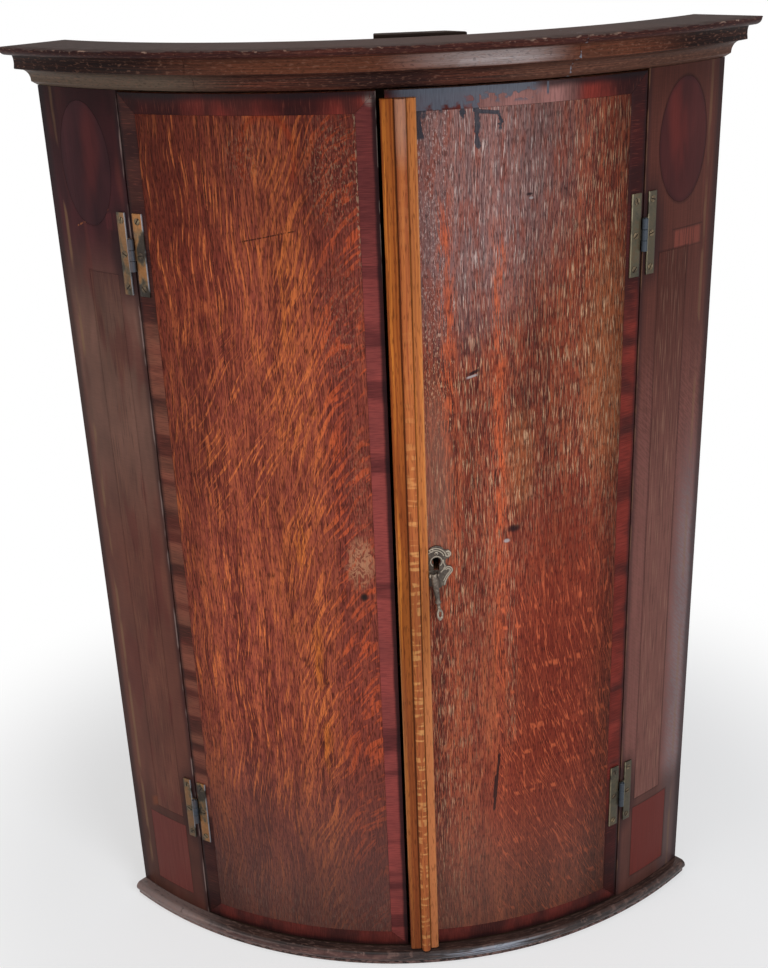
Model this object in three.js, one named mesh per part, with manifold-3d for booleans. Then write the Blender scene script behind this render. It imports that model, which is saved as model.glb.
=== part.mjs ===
// A bow-fronted corner cupboard that hangs or stands in the corner of a room.
// Lengths are in millimetres and +Z is up. The pieces are laid out round the corner of the
// two walls, and the outer group then moves them so that the origin lies under the middle
// of the base. The front looks along -Y.

import * as THREE from "three";
import { mergeVertices } from "three/addons/utils/BufferGeometryUtils.js";
import Module from "manifold-3d";

const wasm = await Module();
wasm.setup();

// Case
const caseRadius = 441;
const caseHeight = 900;
const wallAngle = Math.PI / 4;
const fitGap = 0.3;
const cutOverrun = 2;
const bottomBoardThickness = 16;
const topBoardThickness = 14;
const topBoardRise = 3;
const backBoardThickness = 10;
const cornerBoardHalfWidth = 30;
const shelfThickness = 14;
const shelfSetback = 52;
const shelfHeightShares = [0.33, 0.65];
const stileThickness = 20;
const stileWidth = 104.36;

// Cornice and base moulding
const corniceHeight = 36;
const corniceProjection = 35;
const corniceInset = 35;
const corniceJointArc = 158;
const baseProjection = 14;
const baseRoundRadius = 6;
const baseFilletHeight = 4;
const baseFilletProjection = 11;

// Cleat on the top board
const cleatLeft = -5;
const cleatFront = 108;
const cleatDepth = 22;
const cleatHeight = 11;

// Doors, measured along the curved front from the middle of the cupboard
const seamGap = 1.5;
const doorThickness = 20;
const doorEndClearance = 1.5;
const doorStopClearance = 0.8;
const meetingArc = 0.8;
const meetingGap = 7.3;
const crossbandWidth = 17.5;
const crossbandThickness = 1.5;

// Cover strip on the meeting edge of the right door
const stripLeftArc = -3.6;
const stripWidth = 29.5;
const stripThickness = 8;
const stripEdgeRound = 2.5;
const beadOffset = 11.8;
const beadWidth = 9;
const beadThickness = 13;
const stripTopMargin = 6;
const stripBottomMargin = 1;

// Hinges
const hingeHeight = 76;
const upperHingeDrop = 144;
const lowerHingeHeight = 142;
const leafThickness = 1.6;
const doorLeafWidth = 11;
const doorLeafOffset = 3.6;
const stileLeafWidth = 9.6;
const stileLeafOffset = 5;
const barrelRadius = 3;
const barrelLength = 30;
const hingePinRadius = 1.4;
const hingeClearance = 0.1;
const knuckleClearance = 0.3;
const screwHeadRadius = 2.4;
const screwHeadRise = 0.3;
const screwShankRadius = 1.2;
const screwLength = 11;
const screwTipLength = 3;
const screwSlotWidth = 0.6;
const screwSlotDepth = 0.5;
const screwSpacing = 31;

// Inlays of the stiles
const inlayThickness = 1.2;
const ovalOffset = 49;
const ovalDrop = 66;
const ovalHalfWidth = 32;
const ovalHalfHeight = 56;
const ovalToPanel = 43;
const tallPanelOffset = 42;
const tallPanelWidth = 38;
const panelToPanel = 12;
const lowerPanelOffset = 48;
const lowerPanelWidth = 54;
const lowerPanelHeight = 94;
const lowerPanelBottom = 18;

// Keyhole, its plate and the drop pull
const keyholeArc = 34;
const keyholeHeight = 466;
const keyholeRadius = 4.2;
const keyholeSlotWidth = 5.4;
const keyholeSlotDrop = 11;
const plateThickness = 1.8;
const plateHalfWidth = 15.5;
const plateTopRise = 17.5;
const plateBottomDrop = 29.5;
const platePinRadius = 1;
const platePinHeadRadius = 1.8;
const platePinLength = 9;
const platePinHeadThickness = 0.8;
const platePinTopRise = 8.5;
const platePinBottomDrop = 24;
const pullArc = 31;
const pullPivotDrop = 12;
const pullStandoff = 5;
const pullBarrelRadius = 2.8;
const pullBarrelWidth = 5.6;
const pullBoreRadius = 1.3;
const pullPinRadius = 1;
const pullLugThickness = 1.4;
const pullLugRadius = 2.2;
const pullLugGap = 0.4;
const pullBaseThickness = 1;
const pullBaseHeight = 7;
const pullTopRadius = 3.6;
const pullWaistRadius = 1.9;
const pullCollarRadius = 2.7;
const pullStemLength = 36;
const pullCollarHeight = 3;
const pullLoopRadius = 5.2;
const pullLoopHoleRadius = 1.8;
const pullLoopThickness = 2.6;
const pullLean = 0.11;

// Lock inside the right door
const lockCaseLeftArc = 3;
const lockCaseWidth = 54;
const lockCaseHeight = 60;
const lockCaseThickness = 12;
const lockBoltLength = 30;
const lockBoltHeight = 12;
const lockBoltThickness = 5;
const lockBoltDepth = 3;
const lockBoltRise = 14;

// Slide bolts inside the left door
const boltArc = 22;
const boltSize = 5;
const boltLength = 84;
const boltPlateWidth = 16;
const boltPlateHeight = 70;
const boltPlateThickness = 2;
const boltGuideHeight = 8;
const boltGuideWall = 2.5;
const boltSocketDepth = 10;
const boltEndGap = 3;
const boltPlateMargin = 8;
const boltKnobRadius = 3;
const boltKnobLength = 6;

// Nails of the back boards
const nailShankWidth = 2.2;
const nailLength = 24;
const nailSink = 0.5;

// Facets of the curved faces, the same for every piece, so that neighbours stay parallel
const facetsInQuarter = 32;
const facetAngle = Math.PI / 2 / facetsInQuarter;
const screwSides = 6;
const roundSides = 12;
const baseRoundSteps = 6;
const mergeShare = 1e-6;

// Heights and radii that several pieces share
const baseTop = bottomBoardThickness;
const caseTop = baseTop + caseHeight;
const doorBottom = baseTop + doorEndClearance;
const doorTop = caseTop - doorEndClearance;
const topBoardTop = caseTop + topBoardRise;
const topBoardBottom = topBoardTop - topBoardThickness;
const doorInnerRadius = caseRadius - doorThickness;
const stileInnerRadius = caseRadius - stileThickness;
const boardFrontRadius = Math.min(doorInnerRadius, stileInnerRadius) - doorStopClearance;
const caseEndArc = wallAngle * caseRadius;
const seamArc = caseEndArc - stileWidth;
const hingeMiddles = { upper: caseTop - upperHingeDrop, lower: baseTop + lowerHingeHeight };
const leafInnerRadius = caseRadius + fitGap;
const leafOuterRadius = leafInnerRadius + leafThickness;
const barrelAxisRadius = caseRadius + fitGap + barrelRadius;
const plateInnerRadius = caseRadius + fitGap;
const plateOuterRadius = plateInnerRadius + plateThickness;
const keyholeZ = baseTop + keyholeHeight;

// Solids

function solid(geometry) {
  const bare = geometry.clone();
  bare.deleteAttribute("normal");
  bare.deleteAttribute("uv");
  const merged = mergeVertices(bare, caseRadius * mergeShare);
  const corners = merged.index.array;
  const triangles = [];
  for (let i = 0; i < corners.length; i += 3) {
    const [a, b, c] = [corners[i], corners[i + 1], corners[i + 2]];
    if (a !== b && b !== c && c !== a) {
      triangles.push(a, b, c);
    }
  }
  const places = merged.attributes.position.array;
  if (signedVolume(places, triangles) < 0) {
    triangles.reverse();
  }
  const mesh = new wasm.Mesh({
    numProp: 3,
    vertProperties: new Float32Array(places),
    triVerts: new Uint32Array(triangles),
  });
  return new wasm.Manifold(mesh);
}

function signedVolume(places, triangles) {
  const [a, b, c] = [new THREE.Vector3(), new THREE.Vector3(), new THREE.Vector3()];
  let volume = 0;
  for (let i = 0; i < triangles.length; i += 3) {
    a.fromArray(places, 3 * triangles[i]);
    b.fromArray(places, 3 * triangles[i + 1]);
    c.fromArray(places, 3 * triangles[i + 2]);
    volume += a.dot(b.cross(c));
  }
  return volume;
}

function join(solids) {
  return solids.reduce((all, one) => all.add(one));
}

function cut(body, cutters) {
  return cutters.reduce((left, cutter) => left.subtract(cutter), body);
}

// Frames: X along the face, Y up, Z out of the face

function frameAt(angle, x, y, height) {
  const along = new THREE.Vector3(Math.cos(angle), Math.sin(angle), 0);
  const up = new THREE.Vector3(0, 0, 1);
  const outward = new THREE.Vector3(Math.sin(angle), -Math.cos(angle), 0);
  return new THREE.Matrix4().makeBasis(along, up, outward).setPosition(x, y, height);
}

function onFront(arc, radius, height) {
  const angle = arc / caseRadius;
  return frameAt(angle, radius * Math.sin(angle), -radius * Math.cos(angle), height);
}

function outline(points) {
  return new THREE.Shape(points.map(([x, y]) => new THREE.Vector2(x, y)));
}

function circlePoints(radiusX, radiusY, sides, centreX, centreY) {
  const points = [];
  for (let i = 0; i < sides; i += 1) {
    const turn = (2 * Math.PI * (i + 1 / 2)) / sides;
    points.push([centreX + radiusX * Math.cos(turn), centreY + radiusY * Math.sin(turn)]);
  }
  return points;
}

// A prism on an outline that is drawn in the frame's X and Y, from one depth to another
function prism(points, from, to, frame) {
  const geometry = new THREE.ExtrudeGeometry(outline(points), { depth: to - from, bevelEnabled: false });
  geometry.translate(0, 0, from);
  if (frame) {
    geometry.applyMatrix4(frame);
  }
  return solid(geometry);
}

function boxBetween([x0, y0, z0], [x1, y1, z1], frame) {
  const geometry = new THREE.BoxGeometry(x1 - x0, y1 - y0, z1 - z0);
  geometry.translate((x0 + x1) / 2, (y0 + y1) / 2, (z0 + z1) / 2);
  if (frame) {
    geometry.applyMatrix4(frame);
  }
  return solid(geometry);
}

function rectangle(left, bottom, right, top) {
  return [[left, bottom], [right, bottom], [right, top], [left, top]];
}

// Radius at which the faceted face of a nominal radius lies in a given direction
function facetRadius(radius, angle) {
  const middle = (Math.floor(angle / facetAngle) + 1 / 2) * facetAngle;
  return (radius * Math.cos(facetAngle / 2)) / Math.cos(angle - middle);
}

function facetDirections(startAngle, endAngle) {
  const directions = [startAngle];
  const first = Math.floor(startAngle / facetAngle) + 1;
  const last = Math.ceil(endAngle / facetAngle) - 1;
  for (let i = first; i <= last; i += 1) {
    directions.push(i * facetAngle);
  }
  directions.push(endAngle);
  return directions;
}

function arcPoints(radius, startAngle, endAngle) {
  return facetDirections(startAngle, endAngle).map((angle) => {
    const reach = facetRadius(radius, angle);
    return [reach * Math.sin(angle), -reach * Math.cos(angle)];
  });
}

// A curved board between two radii, two heights and two places along the front
function curvedBoard(innerRadius, outerRadius, bottom, top, arcA, arcB) {
  const startAngle = Math.min(arcA, arcB) / caseRadius;
  const endAngle = Math.max(arcA, arcB) / caseRadius;
  const outer = arcPoints(outerRadius, startAngle, endAngle);
  const inner = arcPoints(innerRadius, startAngle, endAngle).reverse();
  return prism([...outer, ...inner], bottom, top);
}

// A curved sheet whose outline is drawn flat on the front at one place
function curvedSheet(points, arc, height, innerRadius, outerRadius) {
  const reach = Math.max(...points.map(([x]) => Math.abs(x))) + cutOverrun;
  const rise = Math.max(...points.map(([, y]) => Math.abs(y))) + cutOverrun;
  const [bottom, top] = [height - rise, height + rise];
  const sheet = curvedBoard(innerRadius, outerRadius, bottom, top, arc - reach, arc + reach);
  const window = prism(points, innerRadius - caseRadius - reach, outerRadius - caseRadius + reach,
    onFront(arc, caseRadius, height));
  return sheet.intersect(window);
}

// A moulding of one section, turned round the corner of the walls and cut to a length of the front
function moulding(section, bottom, top, arcA, arcB) {
  const profile = [...section, section[0]].map(([x, y]) => new THREE.Vector2(x, y));
  const ring = new THREE.LatheGeometry(profile, 4 * facetsInQuarter);
  ring.rotateX(Math.PI / 2);
  const far = 2 * (caseRadius + corniceProjection);
  const rim = [arcA, (arcA + arcB) / 2, arcB].map((arc) => {
    return [far * Math.sin(arc / caseRadius), -far * Math.cos(arc / caseRadius)];
  });
  const wedge = prism([[0, 0], ...rim], bottom - cutOverrun, top + cutOverrun);
  return solid(ring).intersect(wedge);
}

// A turned piece along the frame's Z; each section point is a radius and a height
function turned(section, sides, frame) {
  const geometry = new THREE.LatheGeometry(section.map(([x, y]) => new THREE.Vector2(x, y)), sides);
  geometry.rotateX(Math.PI / 2);
  if (frame) {
    geometry.applyMatrix4(frame);
  }
  return solid(geometry);
}

function roundBar(radius, from, to, frame) {
  return turned([[0, from], [radius, from], [radius, to], [0, to]], roundSides, frame);
}

// Inside of the case, at a distance from both walls and behind the corner board
function insideWalls(distance, cornerDistance, bottom, top) {
  const far = 2 * caseRadius;
  const shift = distance * Math.SQRT2;
  const points = [
    [-(cornerDistance - shift), -cornerDistance],
    [-far, -far - shift],
    [far, -far - shift],
    [cornerDistance - shift, -cornerDistance],
  ];
  return prism(points, bottom, top);
}

// Screws

function screwSection(spare) {
  return [
    [0, -screwLength - spare],
    [screwShankRadius + spare, -screwLength + screwTipLength - spare],
    [screwShankRadius + spare, -leafThickness],
    [screwHeadRadius, 0],
    [screwHeadRadius, screwHeadRise],
    [0, screwHeadRise],
  ];
}

// A screw is one piece with the leaf that it holds, and only its slotted head stands proud
function withScrews(leaf, frames) {
  const screws = frames.map((frame) => turned(screwSection(0), screwSides, frame));
  const slots = frames.map((frame) => {
    return boxBetween(
      [-screwHeadRadius - cutOverrun, -screwSlotWidth / 2, screwHeadRise - screwSlotDepth],
      [screwHeadRadius + cutOverrun, screwSlotWidth / 2, cutOverrun],
      frame,
    );
  });
  return cut(join([leaf, ...screws]), slots);
}

function hingeScrewHole(frame) {
  return turned(screwSection(fitGap), screwSides, frame);
}

function screwFrames(leafMiddleArc, middle) {
  const reach = facetRadius(leafOuterRadius, leafMiddleArc / caseRadius);
  return [-1, 0, 1].map((place) => onFront(leafMiddleArc, reach, middle + place * screwSpacing));
}

function screwHoles(leafMiddleArc) {
  return Object.values(hingeMiddles).flatMap((middle) => {
    return screwFrames(leafMiddleArc, middle).map(hingeScrewHole);
  });
}

// Materials

function finish(color, roughness, metalness) {
  return new THREE.MeshStandardMaterial({ color, roughness, metalness });
}

const doorOak = finish(0x6b3a26, 0.45, 0);
const stripOak = finish(0xb5652b, 0.5, 0);
const bandMahogany = finish(0x45231e, 0.45, 0);
const stileWood = finish(0x3d2420, 0.5, 0);
const inlayWood = finish(0x6e3524, 0.45, 0);
const corniceWood = finish(0x4a261e, 0.45, 0);
const boardPine = finish(0x6d5847, 0.85, 0);
const hingeBrass = finish(0x7a6a48, 0.5, 0.8);
const plateBrass = finish(0x857a68, 0.45, 0.8);
const lockIron = finish(0x4b4540, 0.6, 0.7);

const cupboard = new THREE.Group();
const casework = new THREE.Group();
const leftDoor = new THREE.Group();
const rightDoor = new THREE.Group();
cupboard.add(casework, leftDoor, rightDoor);

function place(group, name, body, material) {
  const mesh = body.getMesh();
  const geometry = new THREE.BufferGeometry();
  geometry.setAttribute("position", new THREE.BufferAttribute(new Float32Array(mesh.vertProperties), 3));
  geometry.setIndex(new THREE.BufferAttribute(new Uint32Array(mesh.triVerts), 1));
  geometry.computeVertexNormals();
  const piece = new THREE.Mesh(geometry, material);
  piece.name = name;
  group.add(piece);
}

// Back boards: two planks along each wall and a narrow board across the corner

const planeStart = cornerBoardHalfWidth + backBoardThickness + fitGap;
const stileBackRadius = stileInnerRadius * Math.cos(facetAngle / 2) - fitGap;
const planeEnd = Math.sqrt(stileBackRadius ** 2 - backBoardThickness ** 2);
const plankSplit = (planeStart * Math.SQRT2 + planeEnd) / 2;

function wallPoint(side, run, depth) {
  return [(side * (run - depth)) / Math.SQRT2, -(run + depth) / Math.SQRT2];
}

function rearPlank(side) {
  const inner = [side * (planeStart - backBoardThickness * Math.SQRT2), -planeStart];
  return prism([
    [side * planeStart, -planeStart],
    wallPoint(side, plankSplit, 0),
    wallPoint(side, plankSplit, backBoardThickness),
    inner,
  ], 0, caseTop);
}

function frontPlank(side) {
  return prism([
    wallPoint(side, plankSplit + fitGap, 0),
    wallPoint(side, planeEnd, 0),
    wallPoint(side, planeEnd, backBoardThickness),
    wallPoint(side, plankSplit + fitGap, backBoardThickness),
  ], 0, caseTop);
}

function cornerBoard() {
  const inner = cornerBoardHalfWidth + backBoardThickness;
  return prism([
    [-cornerBoardHalfWidth, -cornerBoardHalfWidth],
    [cornerBoardHalfWidth, -cornerBoardHalfWidth],
    [inner, -inner],
    [-inner, -inner],
  ], 0, caseTop);
}

// The back boards are nailed to the edges of the bottom board, the shelves and the top board
const shelfBottoms = shelfHeightShares.map((share) => baseTop + share * caseHeight);
const bottomNailHeight = bottomBoardThickness / 2;
const shelfNailHeights = shelfBottoms.map((bottom) => bottom + shelfThickness / 2);
const topNailHeight = topBoardTop - topBoardThickness / 2;
const nailHeights = [bottomNailHeight, ...shelfNailHeights, topNailHeight];

function nailFrame(side, run, height) {
  const [x, y] = side === 0 ? [0, -cornerBoardHalfWidth] : wallPoint(side, run, 0);
  return frameAt(Math.PI - side * wallAngle, x, y, height);
}

// A driven nail is one piece with the board that its point sits in
function nail(frame) {
  const half = nailShankWidth / 2;
  return boxBetween([-half, -half, -nailLength], [half, half, -nailSink], frame);
}

function nailHole(frame) {
  const half = nailShankWidth / 2 + fitGap;
  const depth = backBoardThickness + cutOverrun;
  return boxBetween([-half, -half, -depth], [half, half, cutOverrun], frame);
}

const rearRun = (planeStart * Math.SQRT2 + plankSplit) / 2;
const frontRun = (plankSplit + planeEnd) / 2;
const nailPlaces = [[0, 0], [-1, rearRun], [-1, frontRun], [1, rearRun], [1, frontRun]];

function nailed(board, height) {
  return join([board, ...nailPlaces.map(([side, run]) => nail(nailFrame(side, run, height)))]);
}

function holed(board, side, run) {
  return cut(board, nailHeights.map((height) => nailHole(nailFrame(side, run, height))));
}

place(casework, "corner_board", holed(cornerBoard(), 0, 0), boardPine);
for (const [side, word] of [[-1, "left"], [1, "right"]]) {
  place(casework, `${word}_rear_plank`, holed(rearPlank(side), side, rearRun), boardPine);
  place(casework, `${word}_front_plank`, holed(frontPlank(side), side, frontRun), boardPine);
}

// Boards that fill the plan: bottom, top and shelves

function planBoard(frontRadius, bottom, top) {
  const front = arcPoints(frontRadius, -wallAngle, wallAngle);
  const quarter = prism([[0, 0], ...front], bottom, top);
  const inset = backBoardThickness + fitGap;
  return quarter.intersect(insideWalls(inset, planeStart, bottom, top));
}

const boltFaceRadius = doorInnerRadius * Math.cos(facetAngle / 2) - fitGap;
const boltPlateRadius = boltFaceRadius - boltPlateThickness;
const boltOuterRadius = boltPlateRadius - fitGap;
const boltAxisRadius = boltOuterRadius - boltSize / 2;
const boltFrame = onFront(-boltArc, boltAxisRadius, 0);

function boltPrism(spare, bottom, top) {
  const half = boltSize / 2 + spare;
  return boxBetween([-half, bottom, -half], [half, top, half], boltFrame);
}

const upperSocket = boltPrism(fitGap, topBoardBottom - cutOverrun, topBoardBottom + boltSocketDepth);
const lowerSocket = boltPrism(fitGap, baseTop - boltSocketDepth, baseTop + cutOverrun);
const topBoard = planBoard(boardFrontRadius, topBoardBottom, topBoardTop);

// The stiles run down past the bottom board, which is notched round them
const stileStart = seamArc + seamGap / 2;
const stileNotches = [-1, 1].map((side) => {
  return curvedBoard(stileInnerRadius - fitGap, caseRadius + cutOverrun, -cutOverrun, baseTop + cutOverrun,
    side * (stileStart - fitGap), side * (caseEndArc + cutOverrun));
});
const bottomBoard = planBoard(caseRadius, 0, baseTop);

place(casework, "top_board", nailed(topBoard.subtract(upperSocket), topNailHeight), boardPine);
place(casework, "bottom_board",
  nailed(cut(bottomBoard, [lowerSocket, ...stileNotches]), bottomNailHeight), boardPine);
shelfBottoms.forEach((bottom, index) => {
  const shelf = planBoard(boardFrontRadius - shelfSetback, bottom, bottom + shelfThickness);
  place(casework, `shelf_${index + 1}`, nailed(shelf, shelfNailHeights[index]), boardPine);
});

// Cleat on the top board, its right end mitred to the back board

function topCleat() {
  const wallShift = (backBoardThickness + fitGap) * Math.SQRT2;
  const rear = cleatFront - cleatDepth;
  return prism([
    [cleatLeft, -cleatFront],
    [cleatFront - wallShift, -cleatFront],
    [rear - wallShift, -rear],
    [cleatLeft, -rear],
  ], topBoardTop + fitGap, topBoardTop + fitGap + cleatHeight);
}

place(casework, "top_cleat", topCleat(), boardPine);

// Stiles with their inlays

function ovalPoints(spare) {
  return circlePoints(ovalHalfWidth + spare, ovalHalfHeight + spare, 2 * roundSides, 0, 0);
}

function panelPoints(width, height, spare) {
  return rectangle(-width / 2 - spare, -height / 2 - spare, width / 2 + spare, height / 2 + spare);
}

const ovalZ = caseTop - ovalDrop;
const tallPanelTop = ovalZ - ovalHalfHeight - ovalToPanel;
const lowerPanelTop = baseTop + lowerPanelBottom + lowerPanelHeight;
const tallPanelBottom = lowerPanelTop + panelToPanel;
const inlays = [
  { name: "stile_oval", arc: seamArc + ovalOffset, height: ovalZ, points: ovalPoints },
  {
    name: "stile_tall_panel",
    arc: seamArc + tallPanelOffset,
    height: (tallPanelTop + tallPanelBottom) / 2,
    points: (spare) => panelPoints(tallPanelWidth, tallPanelTop - tallPanelBottom, spare),
  },
  {
    name: "stile_lower_panel",
    arc: seamArc + lowerPanelOffset,
    height: lowerPanelTop - lowerPanelHeight / 2,
    points: (spare) => panelPoints(lowerPanelWidth, lowerPanelHeight, spare),
  },
];

const stileLeafMiddle = seamArc + stileLeafOffset + stileLeafWidth / 2;
const doorLeafMiddle = seamArc - doorLeafOffset - doorLeafWidth / 2;

function stile(side) {
  let body = curvedBoard(stileInnerRadius, caseRadius, 0, caseTop, side * stileStart, side * caseEndArc);
  for (const inlay of inlays) {
    const recessRadius = caseRadius - inlayThickness - fitGap;
    const recess = curvedSheet(inlay.points(fitGap), side * inlay.arc, inlay.height,
      recessRadius, caseRadius + cutOverrun);
    body = body.subtract(recess);
  }
  return cut(body, screwHoles(side * stileLeafMiddle));
}

for (const [side, word] of [[-1, "left"], [1, "right"]]) {
  place(casework, `${word}_stile`, stile(side), stileWood);
  for (const inlay of inlays) {
    const sheet = curvedSheet(inlay.points(0), side * inlay.arc, inlay.height,
      caseRadius - inlayThickness, caseRadius);
    place(casework, `${word}_${inlay.name}`, sheet, inlayWood);
  }
}

// Cornice in three lengths: cove, fascia and a rounded top edge, seated on the top board

const corniceShares = [
  [0, 0],
  [0.17, 0.09],
  [0.2, 0.21],
  [0.28, 0.32],
  [0.38, 0.39],
  [0.47, 0.41],
  [0.47, 0.44],
  [0.62, 0.45],
  [0.6, 0.6],
  [0.63, 0.75],
  [0.67, 0.78],
  [0.77, 0.78],
  [0.89, 0.82],
  [0.97, 0.89],
  [1, 0.97],
  [1, 1],
];

function corniceSection() {
  const seat = caseTop + fitGap;
  const top = caseTop + corniceHeight;
  const face = corniceShares.map(([out, up]) => {
    return [caseRadius + out * corniceProjection, seat + up * (top - seat)];
  });
  const lip = boardFrontRadius + fitGap;
  return [
    ...face,
    [caseRadius - corniceInset, top],
    [caseRadius - corniceInset, topBoardTop + fitGap],
    [lip, topBoardTop + fitGap],
    [lip, seat],
  ];
}

const corniceTop = caseTop + corniceHeight;
const corniceLengths = [
  ["cornice_left", -caseEndArc, -corniceJointArc - fitGap / 2],
  ["cornice_middle", -corniceJointArc + fitGap / 2, corniceJointArc - fitGap / 2],
  ["cornice_right", corniceJointArc + fitGap / 2, caseEndArc],
];
for (const [name, from, to] of corniceLengths) {
  place(casework, name, moulding(corniceSection(), caseTop, corniceTop, from, to), corniceWood);
}

// Base moulding: a half round over a fillet, against the edge of the bottom board

function baseSection() {
  const roundCentre = caseRadius + baseProjection - baseRoundRadius;
  const roundHeight = baseTop - baseRoundRadius;
  const round = [];
  for (let i = 0; i <= baseRoundSteps; i += 1) {
    const turn = -Math.PI / 2 + (Math.PI * i) / baseRoundSteps;
    const out = baseRoundRadius * Math.cos(turn);
    const up = baseRoundRadius * Math.sin(turn);
    round.push([roundCentre + out, roundHeight + up]);
  }
  return [
    [caseRadius + fitGap, 0],
    [caseRadius + baseFilletProjection, 0],
    [caseRadius + baseFilletProjection, baseFilletHeight],
    ...round,
    [caseRadius + fitGap, baseTop],
  ];
}

place(casework, "base_moulding", moulding(baseSection(), 0, baseTop, -caseEndArc, caseEndArc), corniceWood);

// Hinges: leaves follow the front, knuckles stand on the seam

function knuckle(side, bottom, top) {
  const bore = hingePinRadius + hingeClearance;
  const frame = onFront(side * seamArc, barrelAxisRadius, 0);
  const section = [[bore, bottom], [barrelRadius, bottom], [barrelRadius, top], [bore, top]];
  const profile = [...section, section[0]].map(([x, y]) => new THREE.Vector2(x, y));
  const geometry = new THREE.LatheGeometry(profile, roundSides);
  geometry.applyMatrix4(frame);
  return solid(geometry);
}

function hingePin(side, middle) {
  const frame = onFront(side * seamArc, barrelAxisRadius, middle);
  const half = barrelLength / 2;
  const section = [[0, -half], [hingePinRadius, -half], [hingePinRadius, half], [0, half]];
  const geometry = new THREE.LatheGeometry(section.map(([x, y]) => new THREE.Vector2(x, y)), roundSides);
  geometry.applyMatrix4(frame);
  return solid(geometry);
}

const knuckleLength = (barrelLength - 2 * knuckleClearance) / 3;

// The strip that joins a leaf to its knuckles, kept clear of the pin's bore
function hingeTab(side, fromArc, bottom, top) {
  const bore = onFront(side * seamArc, barrelAxisRadius, 0);
  const clear = hingePinRadius + hingeClearance;
  const tab = curvedBoard(leafInnerRadius, leafOuterRadius, bottom, top, side * fromArc, side * seamArc);
  const hole = prism(circlePoints(clear, clear, roundSides, 0, 0), bottom - cutOverrun, top + cutOverrun);
  const upright = new THREE.Matrix4().copyPosition(bore);
  return tab.subtract(hole.transform(upright.elements));
}

function stileLeaf(side, middle) {
  const bottom = middle - hingeHeight / 2;
  const top = middle + hingeHeight / 2;
  const near = seamArc + stileLeafOffset;
  const far = near + stileLeafWidth;
  const plate = curvedBoard(leafInnerRadius, leafOuterRadius, bottom, top, side * near, side * far);
  const outerKnuckles = [
    [middle - barrelLength / 2, middle - barrelLength / 2 + knuckleLength],
    [middle + barrelLength / 2 - knuckleLength, middle + barrelLength / 2],
  ];
  const parts = outerKnuckles.flatMap(([low, high]) => {
    return [knuckle(side, low, high), hingeTab(side, near + fitGap, low, high)];
  });
  return withScrews(join([plate, ...parts]), screwFrames(side * stileLeafMiddle, middle));
}

function doorLeaf(side, middle) {
  const bottom = middle - hingeHeight / 2;
  const top = middle + hingeHeight / 2;
  const near = seamArc - doorLeafOffset;
  const far = near - doorLeafWidth;
  const plate = curvedBoard(leafInnerRadius, leafOuterRadius, bottom, top, side * near, side * far);
  const low = middle - knuckleLength / 2;
  const high = middle + knuckleLength / 2;
  const parts = [knuckle(side, low, high), hingeTab(side, near - fitGap, low, high)];
  return withScrews(join([plate, ...parts]), screwFrames(side * doorLeafMiddle, middle));
}

for (const [side, word, doorGroup] of [[-1, "left", leftDoor], [1, "right", rightDoor]]) {
  for (const [row, middle] of Object.entries(hingeMiddles)) {
    place(casework, `${word}_${row}_stile_leaf`, stileLeaf(side, middle), hingeBrass);
    place(casework, `${word}_${row}_hinge_pin`, hingePin(side, middle), hingeBrass);
    place(doorGroup, `${word}_${row}_door_leaf`, doorLeaf(side, middle), hingeBrass);
  }
}

// Doors: a curved oak core with crossbands let into its edges

const bandInnerRadius = caseRadius - crossbandThickness;
const hingeEdge = seamArc - seamGap / 2;
const freeEdges = { left: meetingArc - meetingGap, right: meetingArc };
const mitreGap = fitGap / Math.SQRT2;

// Waste of a mitre: u and v run inwards from the corner of the door
function mitreWaste(arc, height, inwardAlong, inwardUp, bandLiesFlat) {
  const far = crossbandWidth + cutOverrun;
  const near = -cutOverrun;
  const flat = [[near, near - mitreGap], [far, far - mitreGap], [near, far]];
  const tall = [[near, near + mitreGap], [far, far + mitreGap], [far, near]];
  const points = (bandLiesFlat ? flat : tall).map(([u, v]) => [u * inwardAlong, v * inwardUp]);
  const depth = crossbandThickness + cutOverrun;
  return prism(points, -depth, cutOverrun, onFront(arc, caseRadius, height));
}

// A band along the top or bottom edge; only the left door has one to meet it at the free edge
function flatBand(side, word, edge, inwardUp) {
  const free = freeEdges[word];
  const hinge = side * hingeEdge;
  const inner = edge + inwardUp * crossbandWidth;
  const [bottom, top] = [Math.min(edge, inner), Math.max(edge, inner)];
  let band = curvedBoard(bandInnerRadius, caseRadius, bottom, top, hinge, free);
  band = band.subtract(mitreWaste(hinge, edge, -side, inwardUp, true));
  if (word === "left") {
    band = band.subtract(mitreWaste(free, edge, side, inwardUp, true));
  }
  return band;
}

function tallBand(edge, inwardAlong) {
  const inner = edge + inwardAlong * crossbandWidth;
  const band = curvedBoard(bandInnerRadius, caseRadius, doorBottom, doorTop, edge, inner);
  return cut(band, [
    mitreWaste(edge, doorTop, inwardAlong, -1, false),
    mitreWaste(edge, doorBottom, inwardAlong, 1, false),
  ]);
}

function doorCore(side, word) {
  const free = freeEdges[word];
  const hinge = side * hingeEdge;
  const backing = curvedBoard(doorInnerRadius, bandInnerRadius - fitGap, doorBottom, doorTop, hinge, free);
  const margin = crossbandWidth + fitGap;
  const fieldFree = word === "left" ? free + side * margin : free;
  const middleRadius = (doorInnerRadius + bandInnerRadius) / 2;
  const field = curvedBoard(middleRadius, caseRadius, doorBottom + margin, doorTop - margin,
    hinge - side * margin, fieldFree);
  return backing.add(field);
}

const keyholeX = caseRadius * Math.sin(keyholeArc / caseRadius);
const keyholeFrame = frameAt(0, keyholeX, 0, keyholeZ);

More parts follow.
